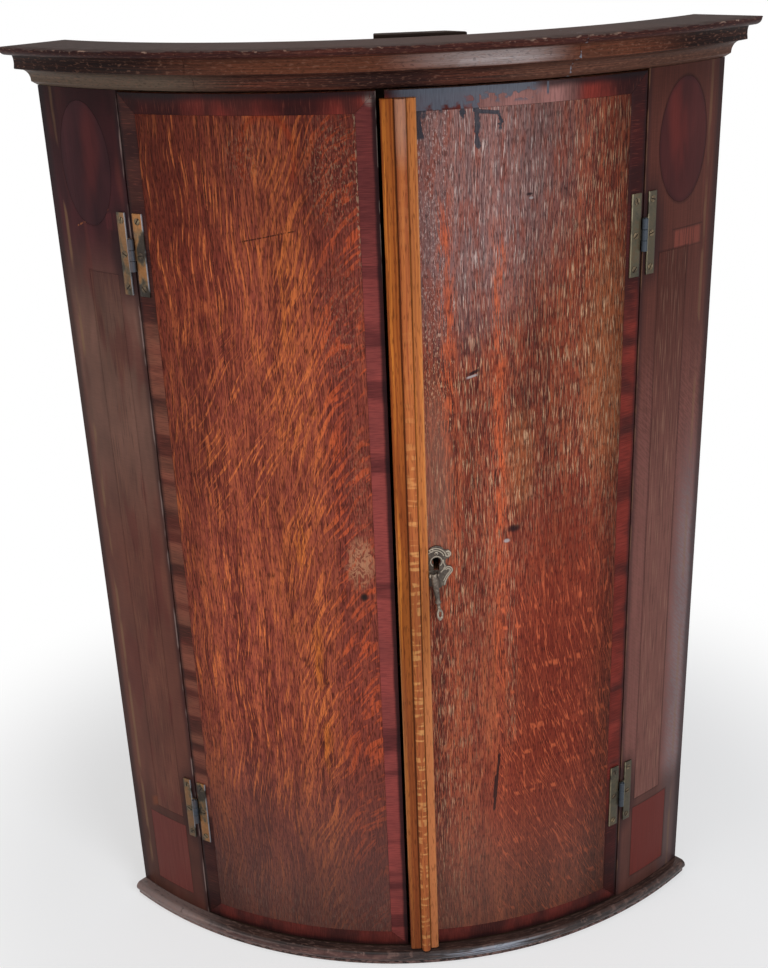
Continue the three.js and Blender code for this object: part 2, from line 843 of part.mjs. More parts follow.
function keyholeCutter(spare) {
  const near = doorInnerRadius - 2 * lockCaseThickness;
  const far = caseRadius + 2 * plateThickness + cutOverrun;
  const radius = keyholeRadius + spare;
  const half = keyholeSlotWidth / 2 + spare;
  const round = prism(circlePoints(radius, radius, roundSides, 0, 0), near, far, keyholeFrame);
  const slot = prism(rectangle(-half, -keyholeSlotDrop - spare, half, 0), near, far, keyholeFrame);
  return round.add(slot);
}

const leftScrewHoles = screwHoles(-doorLeafMiddle);
const rightScrewHoles = screwHoles(doorLeafMiddle);

// Keyhole plate: a scrolled outline in shares of its half width, its rise and its drop

const plateShares = [
  [0, 1], [0.3, 0.93], [0.5, 0.72], [0.78, 0.72], [0.98, 0.52], [0.9, 0.26], [0.64, 0.16], [0.6, -0.05],
  [0.72, -0.18], [0.98, -0.24], [1, -0.42], [0.78, -0.6], [0.5, -0.74], [0.3, -0.9], [0, -1],
];

function platePoints() {
  const right = plateShares.map(([out, up]) => {
    return [out * plateHalfWidth, up > 0 ? up * plateTopRise : up * plateBottomDrop];
  });
  const left = right.slice(1, -1).reverse().map(([x, y]) => [-x, y]);
  return [...right, ...left];
}

const stripRightArc = stripLeftArc + stripWidth;
const stripBottom = doorBottom + stripBottomMargin;
const stripTop = doorTop - stripTopMargin;
const platePinFrames = [platePinTopRise, -platePinBottomDrop].map((rise) => {
  return onFront(keyholeArc, plateOuterRadius + fitGap, keyholeZ + rise);
});

function platePin(frame, spare) {
  const section = [
    [0, -platePinLength - spare],
    [platePinRadius + spare, -platePinLength - spare],
    [platePinRadius + spare, 0],
    [platePinHeadRadius, 0],
    [platePinHeadRadius, platePinHeadThickness],
    [0, platePinHeadThickness],
  ];
  return turned(section, screwSides, frame);
}

const platePinHoles = join(platePinFrames.map((frame) => platePin(frame, fitGap)));

// Drop pull: a bracket on the plate holds a pin, and the pull's barrel turns on it

const pullBaseRadius = plateOuterRadius + fitGap;
const pullPivotRadius = pullBaseRadius + pullStandoff;
const pullPivotZ = keyholeZ - pullPivotDrop;
const pullFrame = onFront(pullArc, pullPivotRadius, pullPivotZ);
const lugInner = pullBarrelWidth / 2 + pullLugGap;
const lugOuter = lugInner + pullLugThickness;
const sideways = new THREE.Matrix4().makeRotationY(Math.PI / 2);

function crossPin(radius, halfLength) {
  return roundBar(radius, -halfLength, halfLength, pullFrame.clone().multiply(sideways));
}

function pullBracket() {
  const base = boxBetween(
    [-lugOuter, -pullBaseHeight / 2, -pullStandoff],
    [lugOuter, pullBaseHeight / 2, -pullStandoff + pullBaseThickness],
    pullFrame,
  );
  const lugs = [-1, 1].flatMap((side) => {
    const near = Math.min(side * lugInner, side * lugOuter);
    const far = Math.max(side * lugInner, side * lugOuter);
    const frame = pullFrame.clone().multiply(sideways);
    const ear = roundBar(pullLugRadius, near, far, frame);
    const web = boxBetween([near, -pullLugRadius, -pullStandoff], [far, pullLugRadius, 0], pullFrame);
    return [ear, web];
  });
  return join([base, ...lugs, crossPin(pullPinRadius, lugInner + pullLugThickness / 2)]);
}

function dropPull() {
  const frame = pullFrame.clone().multiply(sideways);
  const half = pullBarrelWidth / 2;
  const barrel = roundBar(pullBarrelRadius, -half, half, frame);
  const lean = new THREE.Matrix4().makeRotationZ(pullLean);
  const hanging = pullFrame.clone().multiply(lean);
  const stemTop = -pullBarrelRadius;
  const stemEnd = stemTop - pullStemLength;
  const loopCentre = stemEnd - pullCollarHeight - pullLoopRadius / 2;
  const section = [
    [0, loopCentre + pullLoopRadius / 2],
    [pullWaistRadius, loopCentre + pullLoopRadius / 2],
    [pullWaistRadius, stemEnd - pullCollarHeight / 2],
    [pullCollarRadius, stemEnd],
    [pullWaistRadius, stemEnd + pullCollarHeight / 2],
    [pullTopRadius, stemTop - pullCollarHeight],
    [pullTopRadius, stemTop - fitGap],
    [0, stemTop - fitGap],
  ];
  const stem = new THREE.LatheGeometry(section.map(([x, y]) => new THREE.Vector2(x, y)), roundSides);
  stem.applyMatrix4(hanging);
  const neckLow = [-half / 2, stemTop - pullCollarHeight, -half / 2];
  const neck = boxBetween(neckLow, [half / 2, -pullBoreRadius, half / 2], pullFrame);
  const loop = prism(circlePoints(pullLoopRadius, pullLoopRadius, roundSides, 0, loopCentre),
    -pullLoopThickness / 2, pullLoopThickness / 2, hanging);
  const holeCentre = loopCentre - pullLoopHoleRadius;
  const hole = prism(circlePoints(pullLoopHoleRadius, pullLoopHoleRadius, screwSides, 0, holeCentre),
    -pullLoopThickness, pullLoopThickness, hanging);
  return cut(join([barrel, neck, solid(stem), loop]), [hole, crossPin(pullBoreRadius, 2 * half)]);
}

// Cover strip: flat wings with a raised bead

function coverStrip() {
  const toAngle = (offset) => (stripLeftArc + offset) / caseRadius;
  const section = [
    [0, 0],
    [stripWidth, 0],
    [stripWidth, stripThickness - stripEdgeRound],
    [stripWidth - stripEdgeRound, stripThickness],
    [beadOffset + beadWidth, stripThickness],
    [beadOffset + beadWidth, beadThickness - stripEdgeRound],
    [beadOffset + beadWidth - stripEdgeRound, beadThickness],
    [beadOffset + stripEdgeRound, beadThickness],
    [beadOffset, beadThickness - stripEdgeRound],
    [beadOffset, stripThickness],
    [stripEdgeRound, stripThickness],
    [0, stripThickness - stripEdgeRound],
  ];
  const points = section.map(([offset, proud]) => {
    const radius = caseRadius + fitGap + proud;
    return [radius * Math.sin(toAngle(offset)), -radius * Math.cos(toAngle(offset))];
  });
  return prism(points, stripBottom, stripTop);
}

// Lock: a case on the inner face of the right door, and a bolt that slides behind the left door

const lockOuterRadius = doorInnerRadius - fitGap;
const lockBottom = keyholeZ - lockCaseHeight / 2;
const lockTop = keyholeZ + lockCaseHeight / 2;
const lockCaseAngle = lockCaseLeftArc / caseRadius;
const lockBoltLeft = lockOuterRadius * Math.sin(lockCaseAngle) + fitGap;
const lockBoltFront = lockOuterRadius - lockBoltDepth;
const lockBoltBottom = keyholeZ + lockBoltRise - lockBoltHeight / 2;

function lockBolt(spare, extraLeft) {
  return boxBetween(
    [lockBoltLeft - extraLeft, -lockBoltFront - spare, lockBoltBottom - spare],
    [lockBoltLeft + lockBoltLength + spare, -lockBoltFront + lockBoltThickness + spare,
      lockBoltBottom + lockBoltHeight + spare],
  );
}

function lockCase() {
  const body = curvedBoard(lockOuterRadius - lockCaseThickness, lockOuterRadius, lockBottom, lockTop,
    lockCaseLeftArc, lockCaseLeftArc + lockCaseWidth);
  return cut(body, [lockBolt(fitGap, cutOverrun), keyholeCutter(0)]);
}

// Slide bolts of the left door: a plate with two guides, and a square bolt with a knob

function boltPlate(bottom, top) {
  const face = boltFaceRadius - boltAxisRadius;
  const back = boltPlateRadius - boltAxisRadius;
  const half = boltPlateWidth / 2;
  const plate = boxBetween([-half, bottom, back], [half, top, face], boltFrame);
  const wall = boltSize / 2 + fitGap + boltGuideWall;
  const guides = [[bottom, bottom + boltGuideHeight], [top - boltGuideHeight, top]].map(([low, high]) => {
    return boxBetween([-wall, low, -wall], [wall, high, back + boltPlateThickness / 2], boltFrame);
  });
  return join([plate, ...guides]).subtract(boltPrism(fitGap, bottom - cutOverrun, top + cutOverrun));
}

function slideBolt(bottom, top, knobHeight) {
  const frame = boltFrame.clone().multiply(new THREE.Matrix4().makeTranslation(0, knobHeight, 0));
  const outer = -boltSize / 2;
  const knob = turned([
    [0, outer - boltKnobLength],
    [boltKnobRadius, outer - boltKnobLength],
    [boltKnobRadius / 2, 0],
    [0, 0],
  ], screwSides, frame);
  return boltPrism(0, bottom, top).add(knob);
}

const upperPlateTop = topBoardBottom - boltPlateMargin;
const upperPlateBottom = upperPlateTop - boltPlateHeight;
const upperBoltTop = topBoardBottom - boltEndGap;
const lowerPlateBottom = baseTop + boltPlateMargin;
const lowerPlateTop = lowerPlateBottom + boltPlateHeight;
const lowerBoltBottom = baseTop + boltEndGap;

// Left door

place(leftDoor, "left_door_core", cut(doorCore(-1, "left"), leftScrewHoles), doorOak);
place(leftDoor, "left_door_top_band", flatBand(-1, "left", doorTop, -1), bandMahogany);
place(leftDoor, "left_door_bottom_band", flatBand(-1, "left", doorBottom, 1), bandMahogany);
place(leftDoor, "left_door_hinge_band", cut(tallBand(-hingeEdge, 1), leftScrewHoles), bandMahogany);
place(leftDoor, "left_door_meeting_band", tallBand(freeEdges.left, -1), bandMahogany);
place(leftDoor, "upper_bolt_plate", boltPlate(upperPlateBottom, upperPlateTop), lockIron);
place(leftDoor, "lower_bolt_plate", boltPlate(lowerPlateBottom, lowerPlateTop), lockIron);
place(leftDoor, "upper_bolt",
  slideBolt(upperBoltTop - boltLength, upperBoltTop, (upperPlateBottom + upperPlateTop) / 2), lockIron);
place(leftDoor, "lower_bolt", slideBolt(lowerBoltBottom, lowerBoltBottom + boltLength,
  (lowerPlateBottom + lowerPlateTop) / 2), lockIron);

// Right door

place(rightDoor, "right_door_core",
  cut(doorCore(1, "right"), [...rightScrewHoles, keyholeCutter(0), platePinHoles]), doorOak);
place(rightDoor, "right_door_top_band", flatBand(1, "right", doorTop, -1), bandMahogany);
place(rightDoor, "right_door_bottom_band", flatBand(1, "right", doorBottom, 1), bandMahogany);
place(rightDoor, "right_door_hinge_band", cut(tallBand(hingeEdge, -1), rightScrewHoles), bandMahogany);
place(rightDoor, "cover_strip", coverStrip(), stripOak);

const stripSide = curvedBoard(caseRadius - cutOverrun, caseRadius + beadThickness,
  keyholeZ - 2 * plateBottomDrop, keyholeZ + 2 * plateTopRise, stripLeftArc, stripRightArc + fitGap);
const keyPlate = curvedSheet(platePoints(), keyholeArc, keyholeZ, plateInnerRadius, plateOuterRadius);
place(rightDoor, "keyhole_plate", cut(keyPlate, [stripSide, keyholeCutter(0), platePinHoles]), plateBrass);
place(rightDoor, "keyhole_plate_upper_pin", platePin(platePinFrames[0], 0), plateBrass);
place(rightDoor, "keyhole_plate_lower_pin", platePin(platePinFrames[1], 0), plateBrass);
place(rightDoor, "pull_bracket", pullBracket(), plateBrass);
place(rightDoor, "drop_pull", dropPull(), plateBrass);
place(rightDoor, "lock_case", lockCase(), lockIron);
place(rightDoor, "lock_bolt", lockBolt(0, 0), lockIron);

// The origin lies under the middle of the whole cupboard's outline
cupboard.position.y = (caseRadius + corniceProjection + cornerBoardHalfWidth) / 2;

export default cupboard;
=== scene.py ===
# %% [markdown]
# A bow-fronted corner cupboard: two curved oak doors between inlaid stiles, under a moulded cornice.
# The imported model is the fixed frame. It says where every piece sits and what it moves with.
# This lesson dresses that frame: smooth bent boards, mouldings, brass and old polish.

# %% Load the frame
import math
import random
import bpy
from mathutils import Matrix, Vector


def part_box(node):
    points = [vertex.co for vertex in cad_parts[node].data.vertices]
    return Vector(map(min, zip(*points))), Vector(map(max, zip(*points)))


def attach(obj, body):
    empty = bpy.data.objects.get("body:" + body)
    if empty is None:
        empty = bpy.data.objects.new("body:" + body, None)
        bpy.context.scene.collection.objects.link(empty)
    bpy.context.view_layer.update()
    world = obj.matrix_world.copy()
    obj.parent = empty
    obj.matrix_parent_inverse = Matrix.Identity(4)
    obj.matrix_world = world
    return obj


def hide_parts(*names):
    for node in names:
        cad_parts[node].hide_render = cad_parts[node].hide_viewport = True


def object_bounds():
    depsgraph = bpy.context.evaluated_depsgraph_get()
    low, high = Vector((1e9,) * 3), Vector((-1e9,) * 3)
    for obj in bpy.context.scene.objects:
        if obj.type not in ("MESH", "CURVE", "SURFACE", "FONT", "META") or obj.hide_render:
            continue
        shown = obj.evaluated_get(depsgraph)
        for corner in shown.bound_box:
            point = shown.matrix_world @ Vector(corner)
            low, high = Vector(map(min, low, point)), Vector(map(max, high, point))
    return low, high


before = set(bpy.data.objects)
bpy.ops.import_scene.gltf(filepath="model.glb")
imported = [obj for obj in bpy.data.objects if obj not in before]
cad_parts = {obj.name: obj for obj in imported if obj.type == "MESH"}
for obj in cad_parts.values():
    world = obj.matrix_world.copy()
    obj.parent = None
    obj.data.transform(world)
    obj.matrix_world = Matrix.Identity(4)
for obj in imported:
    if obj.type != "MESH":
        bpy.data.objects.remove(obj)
cad_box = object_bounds()

# %% [markdown]
# The front is part of a cylinder round the corner where the two walls meet. So places on it are
# given as an arc, measured along the front from its middle, and a height. Sizes are in metres,
# and `mm` makes them readable. Heights come from the frame's own pieces.

# %% Sizes that every piece shares
mm = 0.001
case_radius = 441 * mm
corner_board_half_width = 30 * mm
corner = Vector((0, cad_box[1].y + corner_board_half_width, 0))
case_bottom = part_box("left_stile")[0].z
case_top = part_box("left_stile")[1].z
base_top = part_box("base_moulding")[1].z
door_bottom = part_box("left_door_hinge_band")[0].z
door_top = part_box("left_door_hinge_band")[1].z
half_front = math.pi / 4 * case_radius
stile_width = 104.36 * mm
seam_arc = half_front - stile_width
seam_gap = 1.5 * mm
hinge_edge = seam_arc - seam_gap / 2
meeting_arc = 0.8 * mm
meeting_gap = 7.3 * mm
door_thickness = 20 * mm
stile_thickness = 20 * mm
fit_gap = 0.3 * mm
glue_gap = 0.05 * mm
print("corner at", tuple(corner), "seam at arc", round(seam_arc / mm, 1), "mm")

# %% [markdown]
# The camera stands a little above the cupboard's top, as the photographer did, and looks down.
# Its place and turn were solved from the cupboard's own edges. The lens keeps the same upright
# lines that lean towards each other low down.

# %% Camera
camera_place = Vector((-11 * mm, -1305.2 * mm, 1049.9 * mm))
camera_yaw = math.radians(0.078)
camera_pitch = math.radians(-23.502)
camera_roll = math.radians(2.341)
focal_pixels = 1320
long_side_pixels = 968
sensor_width = 36

bpy.ops.object.camera_add()
camera = bpy.context.object
camera.name = "camera"
look = (Matrix.Rotation(camera_yaw, 4, "Z") @ Matrix.Rotation(camera_pitch, 4, "X")
        @ Matrix.Rotation(camera_roll, 4, "Y"))
level = Matrix.Rotation(math.pi / 2, 4, "X")
camera.matrix_world = Matrix.Translation(camera_place) @ look @ level
camera.data.sensor_width = sensor_width
camera.data.lens = focal_pixels / long_side_pixels * sensor_width
bpy.context.scene.camera = camera
print("lens", round(camera.data.lens, 2), "mm")

# %% [markdown]
# Shader sums are easier to read as plain arithmetic. `Wire` is the output of one node. Adding or
# multiplying two wires, or a wire and a number, adds the Math node that does it.

# %% A wire that does sums
class Wire:
    """One node's output, in a material that is being mixed"""

    def __init__(self, recipe, socket):
        self.recipe = recipe
        self.socket = socket

    def _maths(self, operation, first, second):
        return self.recipe.node("ShaderNodeMath", {"operation": operation}, {0: first, 1: second})

    def __add__(self, other):
        return self._maths("ADD", self, other)

    def __radd__(self, other):
        return self._maths("ADD", other, self)

    def __sub__(self, other):
        return self._maths("SUBTRACT", self, other)

    def __rsub__(self, other):
        return self._maths("SUBTRACT", other, self)

    def __mul__(self, other):
        return self._maths("MULTIPLY", self, other)

    def __rmul__(self, other):
        return self._maths("MULTIPLY", other, self)

    def __truediv__(self, other):
        return self._maths("DIVIDE", self, other)

    def __rtruediv__(self, other):
        return self._maths("DIVIDE", other, self)

    def __pow__(self, other):
        return self._maths("POWER", self, other)

    def __abs__(self):
        return self._maths("ABSOLUTE", self, 0)


# %% [markdown]
# `Recipe` holds one material while it is mixed. Every other node comes from its `node` method:
# the type, then the settings, then what goes into the sockets. The rest are short names for the
# nodes that old wood and metal need again and again: soft masks, noise and mixing.

# %% A recipe for a finish
def colour(code):
    """A written colour such as #7a3b22, turned into the linear numbers that shaders use"""
    parts = [int(code[i:i + 2], 16) / 255 for i in (1, 3, 5)]
    return (*[p / 12.92 if p < 0.04045 else ((p + 0.055) / 1.055) ** 2.4 for p in parts], 1)


class Recipe:
    """A procedural material, or the world round the object, mixed node by node"""

    def __init__(self, name, world=False):
        self.material = (bpy.data.worlds if world else bpy.data.materials).new(name)
        self.material.use_nodes = True
        self.tree = self.material.node_tree
        self.tree.nodes.clear()
        if not world:
            self.find_place()

    def find_place(self):
        """Where a point is: x, y and z in metres, and its place along, up and out from the front"""
        place = self.node("ShaderNodeTexCoord", out="Object")
        split = self.node("ShaderNodeSeparateXYZ", {}, {0: place}, out="X")
        outputs = split.socket.node.outputs
        self.x, self.y, self.z = [Wire(self, outputs[axis]) for axis in "XYZ"]
        back = corner.y - self.y
        turn = self.node("ShaderNodeMath", {"operation": "ARCTAN2"}, {0: self.x, 1: back})
        self.along = turn * (case_radius / mm)
        self.up = self.z / mm
        self.out = (self.x * self.x + back * back) ** 0.5 - case_radius

    def node(self, kind, settings=None, sockets=None, out=0):
        """One node: its type, its settings, what goes into its sockets, and which output to read"""
        made = self.tree.nodes.new(kind)
        for key, value in (settings or {}).items():
            setattr(made, key, value)
        for key, value in (sockets or {}).items():
            if isinstance(value, Wire):
                self.tree.links.new(value.socket, made.inputs[key])
            else:
                made.inputs[key].default_value = value
        return Wire(self, made.outputs[out]) if made.outputs else None

    def vector(self, x, y, z):
        return self.node("ShaderNodeCombineXYZ", {}, {"X": x, "Y": y, "Z": z})

    def fade(self, value, start, end):
        """0 at start, 1 at end, and soft in between"""
        sockets = {"Value": value, "From Min": start, "From Max": end}
        return self.node("ShaderNodeMapRange", {"interpolation_type": "SMOOTHSTEP"}, sockets)

    def band(self, value, low, high, soft):
        """1 between low and high"""
        return self.fade(value, low - soft, low + soft) * self.fade(value, high + soft, high - soft)

    def noise(self, vector, detail, distortion=0):
        sockets = {"Vector": vector, "Scale": 1, "Detail": detail, "Distortion": distortion}
        return self.node("ShaderNodeTexNoise", {}, sockets)

    def spot(self, across, up, centre, reach):
        """A soft oval mark: 1 in the middle, 0 past its reach"""
        along = (across - centre[0]) / reach[0]
        rise = (up - centre[1]) / reach[1]
        return self.fade(along * along + rise * rise, 1, 0)

    def at(self, centre, reach):
        """Such a mark at a place on the front, in millimetres"""
        return self.spot(self.along, self.up, centre, reach)

    def mix(self, share, first, second, blend="MIX"):
        """The first colour where share is 0, the second where it is 1"""
        first, second = [colour(c) if isinstance(c, str) else c for c in (first, second)]
        settings = {"data_type": "RGBA", "blend_type": blend}
        return self.node("ShaderNodeMix", settings, {0: share, 6: first, 7: second}, out=2)

    def grey(self, value):
        return self.node("ShaderNodeCombineColor", {}, {0: value, 1: value, 2: value})

    def shade(self, tint, value):
        """The tint made darker or lighter by a number that varies"""
        return self.mix(1, tint, self.grey(value), "MULTIPLY")

    def clamp(self, value):
        return self.node("ShaderNodeClamp", {}, {"Value": value})

    def finish(self, tint, roughness, bump=None, depth=mm, metal=0, coat=0, sockets=None):
        """Ties the mixed values to one Principled surface; depth is how far the bump stands"""
        extra = {"Base Color": tint, "Roughness": roughness, "Metallic": metal, "Coat Weight": coat,
                 "Specular IOR Level": 0.05}
        extra.update(sockets or {})
        if bump is not None:
            lift = {"Height": bump, "Distance": depth, "Strength": 1}
            extra["Normal"] = self.node("ShaderNodeBump", {}, lift)
        surface = self.node("ShaderNodeBsdfPrincipled", {}, extra)
        self.node("ShaderNodeOutputMaterial", {}, {"Surface": surface})
        print(f"{self.material.name}: {len(self.tree.nodes)} nodes")
        return self.material


finishes = {}


# %% [markdown]
# A pale floor and a white surround keep the eye on the cupboard. The surround is white only to the
# camera and in reflections. What lights the wood is a soft grey sky and three large soft lamps:
# a window in front and to the right, a weaker one to the left, and one overhead.

# %% Floor, surround and lamps
sky_strength = 0.3
floor_width = 30
middle_height = case_top / 2


def in_sight(r):
    """1 where the camera looks, straight, in a reflection or through glass, and 0 for lighting"""
    straight = r.node("ShaderNodeLightPath", out="Is Camera Ray")
    rays = straight.socket.node.outputs
    reflected, through = [Wire(r, rays[name]) for name in ("Is Glossy Ray", "Is Transmission Ray")]
    return r.clamp(straight + reflected + through)


def pale_surround():
    r = Recipe("studio", world=True)
    sky = r.node("ShaderNodeBackground", {}, {"Color": colour("#e8ecf2"), "Strength": sky_strength})
    white = r.node("ShaderNodeBackground", {}, {"Color": (1, 1, 1, 1), "Strength": 1})
    surface = r.node("ShaderNodeMixShader", {}, {0: in_sight(r), 1: sky, 2: white})
    r.node("ShaderNodeOutputWorld", {}, {"Surface": surface})
    bpy.context.scene.world = r.material


def paper_floor():
    """Matt paper near the cupboard, where it takes the shadow, and plain white further away"""
    r = Recipe("floor_paper")
    away = (r.x * r.x + r.y * r.y) ** 0.5
    share = (0.5 + 0.5 * r.fade(away, 0.4, 0.8)) * in_sight(r)
    paper = r.node("ShaderNodeBsdfDiffuse", {}, {"Color": colour("#fafafa")})
    white = r.node("ShaderNodeEmission", {}, {"Color": (1, 1, 1, 1), "Strength": 1})
    surface = r.node("ShaderNodeMixShader", {}, {0: share, 1: paper, 2: white})
    r.node("ShaderNodeOutputMaterial", {}, {"Surface": surface})
    return r.material


def soft_lamp(name, place, aim, width, height, watts, tint):
    bpy.ops.object.light_add(type="AREA", location=place)
    lamp = bpy.context.object
    lamp.name = name
    lamp.data.shape = "RECTANGLE"
    lamp.data.size = width
    lamp.data.size_y = height
    lamp.data.energy = watts
    lamp.data.color = colour(tint)[:3]
    lamp.rotation_euler = (Vector(aim) - Vector(place)).to_track_quat("-Z", "Y").to_euler()


pale_surround()
soft_lamp("window_lamp", (1.3, -2.1, 1.4), (0, 0, middle_height), 1.2, 1.5, 30, "#f6f9ff")
soft_lamp("left_lamp", (-2.2, -1.5, 1.3), (0, 0, middle_height), 1.4, 1.4, 17, "#fff8f0")
soft_lamp("ceiling_lamp", (0, -0.6, 2.9), (0, 0, 0), 2.4, 2.4, 20, "#ffffff")

bpy.ops.mesh.primitive_plane_add(size=floor_width, location=(0, 0, 0))
floor = bpy.context.object
floor.name = "floor"
floor.data.materials.append(paper_floor())

scene = bpy.context.scene
scene.view_settings.view_transform = "Standard"

# %% [markdown]
# Every piece is shaped in edit mode, as by hand. These helpers are the steps that come back:
# go into edit mode with everything selected, pick faces or edges by their place, ease the sharp
# edges, and hand a finished piece to the body that it moves with.

# %% Helpers for modelling
ease_limit = math.radians(35)
flat_limit = math.radians(0.5)
weld_distance = 0.001 * mm
sliver_area = 4.8e-13


def in_mm(points):
    """Drawn points, whose numbers are millimetres"""
    return [tuple(value * mm for value in point) for point in points]


def front(arc, height, out=0):
    """The point on the curved front at this arc and height, moved out by a distance"""
    turn = arc / case_radius
    reach = case_radius + out
    return Vector((reach * math.sin(turn), corner.y - reach * math.cos(turn), height))


def tangent(arc):
    """The level direction along the front"""
    turn = arc / case_radius
    return Vector((math.cos(turn), math.sin(turn), 0))


def outward(arc):
    """The level direction away from the corner of the walls"""
    turn = arc / case_radius
    return Vector((math.sin(turn), -math.cos(turn), 0))


def arc_and_out(place):
    """The other way round: how far along the front a place is, and how far out from it"""
    return (math.atan2(place.x, corner.y - place.y) * case_radius,
            math.hypot(place.x, corner.y - place.y) - case_radius)


def front_frame(arc, height, out=0):
    """X along the front, Y up and Z outwards, at a place on the front"""
    axes = Matrix((tangent(arc), (0, 0, 1), outward(arc))).transposed().to_4x4()
    return Matrix.Translation(front(arc, height, out)) @ axes


# %% Steps in edit mode
def select_only(obj):
    bpy.ops.object.select_all(action="DESELECT")
    bpy.context.view_layer.objects.active = obj
    obj.select_set(True)


def edit(obj):
    """Into edit mode, with all of the mesh selected"""
    select_only(obj)
    bpy.ops.object.mode_set(mode="EDIT")
    bpy.ops.mesh.select_all(action="SELECT")


def leave():
    bpy.ops.object.mode_set(mode="OBJECT")


def fixed(name):
    """Puts the new object's place into its mesh"""
    obj = bpy.context.object
    obj.name = name
    bpy.ops.object.transform_apply(location=True, rotation=True, scale=True)
    return obj


def tidy_up():
    """Merges corners that lie in one place and turns the faces outwards"""
    bpy.ops.mesh.select_all(action="SELECT")
    bpy.ops.mesh.remove_doubles(threshold=weld_distance)
    bpy.ops.mesh.normals_make_consistent(inside=False)


def pick_faces(obj, wanted):
    """Selects the faces whose centre and normal are wanted"""
    bpy.ops.mesh.select_all(action="DESELECT")
    leave()
    for face in obj.data.polygons:
        face.select = wanted(face.center, face.normal)
    bpy.ops.object.mode_set(mode="EDIT")


def smooth_over(obj):
    """Shades curved faces smooth and leaves sharp edges sharp"""
    select_only(obj)
    bpy.ops.object.shade_smooth_by_angle(angle=ease_limit)
    return obj


def ease_edges(obj, width, segments=2):
    """Rounds every sharp edge a little, as sandpaper and years do"""
    edit(obj)
    bpy.ops.mesh.select_all(action="DESELECT")
    bpy.ops.mesh.edges_select_sharp(sharpness=ease_limit)
    bpy.ops.mesh.bevel(offset=width, segments=segments, affect="EDGES", clamp_overlap=True)
    leave()
    smooth_over(obj)


# %% Cutting and handing over
def carry_out(obj, kind, other, operation):
    """A boolean modifier, applied, after which the other solid is no longer needed"""
    select_only(obj)
    step = obj.modifiers.new(kind, "BOOLEAN")
    step.operation = operation
    step.solver = "EXACT"
    step.object = other
    bpy.ops.object.modifier_apply(modifier=step.name)
    bpy.data.objects.remove(other)
    return obj


def drop_slivers(obj):
    """Booleans can leave triangles too thin to matter, which would leave the mesh open"""
    obj.data.calc_loop_triangles()
    if min(triangle.area for triangle in obj.data.loop_triangles) < sliver_area:
        edit(obj)
        bpy.ops.mesh.dissolve_degenerate(threshold=weld_distance)
        leave()


def settle(obj, body, material, slot, *replaced):
    """A finished piece: its material, the body that it moves with and what it stands for"""
    drop_slivers(obj)
    obj.data.materials.clear()
    obj.data.materials.append(material)
    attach(obj, body)
    if replaced:
        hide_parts(*replaced)
    print(f"{obj.name}: {len(obj.data.polygons)} faces on {body}")
    return obj


# %% [markdown]
# Bent boards. A cooper would glue up narrow staves and plane them round, and a curved door is made
# the same way. Here the upright end section of the board is spun about the corner of the walls.
# A moulding is spun too, from an outline that is drawn point by point.

# %% Bent boards and mouldings
spin_chord = 3.5 * mm


def spin_round(turn):
    """Spins what is selected about the corner of the walls, in steps of equal length"""
    steps = max(2, round(abs(turn) * case_radius / spin_chord))
    bpy.ops.mesh.spin(steps=steps, angle=-turn, center=corner, axis=(0, 0, 1))
    tidy_up()


def bent_board(name, inner, outer, bottom, top, arc_from, arc_to):
    """inner and outer are distances from the front, negative behind it"""
    middle = front(arc_from, (bottom + top) / 2, (inner + outer) / 2)
    turn = (math.pi / 2, 0, arc_from / case_radius - math.pi / 2)
    bpy.ops.object.select_all(action="DESELECT")
    bpy.ops.mesh.primitive_plane_add(size=1, location=middle, rotation=turn)
    bpy.context.object.scale = (outer - inner, top - bottom, 1)
    obj = fixed(name)
    edit(obj)
    spin_round((arc_to - arc_from) / case_radius)
    leave()
    return obj


def drawn_line(name, points, closed):
    """Edges from point to point: one corner is extruded again and again"""
    bpy.ops.object.select_all(action="DESELECT")
    bpy.ops.mesh.primitive_plane_add(size=mm, location=points[0])
    obj = fixed(name)
    edit(obj)
    bpy.ops.mesh.merge(type="CENTER")
    here = Vector(points[0])
    for point in [*points[1:], *([points[0]] if closed else [])]:
        step = Vector(point) - here
        bpy.ops.mesh.extrude_region_move(TRANSFORM_OT_translate={"value": step})
        here = Vector(point)
    bpy.ops.mesh.select_all(action="SELECT")
    bpy.ops.mesh.remove_doubles(threshold=weld_distance)
    leave()
    return obj


def drawn_outline(name, points):
    """A flat face inside a closed line"""
    obj = drawn_line(name, points, True)
    edit(obj)
    bpy.ops.mesh.edge_face_add()
    leave()
    return obj


def spun_moulding(name, section, arc_from, arc_to):
    """section is a list of (distance out from the front, height)"""
    obj = drawn_outline(name, [front(arc_from, height, out) for out, height in section])
    edit(obj)
    spin_round((arc_to - arc_from) / case_radius)
    leave()
    return obj


def rounded(centre, reach, start, end, steps):
    """Points on a quarter or half round, in degrees from straight out"""
    turns = [math.radians(start + (end - start) * i / steps) for i in range(steps + 1)]
    return [(centre[0] + reach[0] * math.cos(t), centre[1] + reach[1] * math.sin(t)) for t in turns]


def copy_of_node(name, node):
    """A welded copy of a frame piece, whose flat faces are whole again"""
    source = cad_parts[node]
    obj = bpy.data.objects.new(name, source.data.copy())
    bpy.context.scene.collection.objects.link(obj)
    edit(obj)
    bpy.ops.mesh.remove_doubles(threshold=weld_distance)
    bpy.ops.mesh.dissolve_limited(angle_limit=flat_limit)
    leave()
    return obj


# %% Turned and flat pieces
upright = Matrix.Identity(4)


def put(obj, place):
    """Moves a piece that was made at the origin to its place, into its mesh"""
    select_only(obj)
    obj.matrix_world = place
    bpy.ops.object.transform_apply(location=True, rotation=True, scale=True)
    return obj


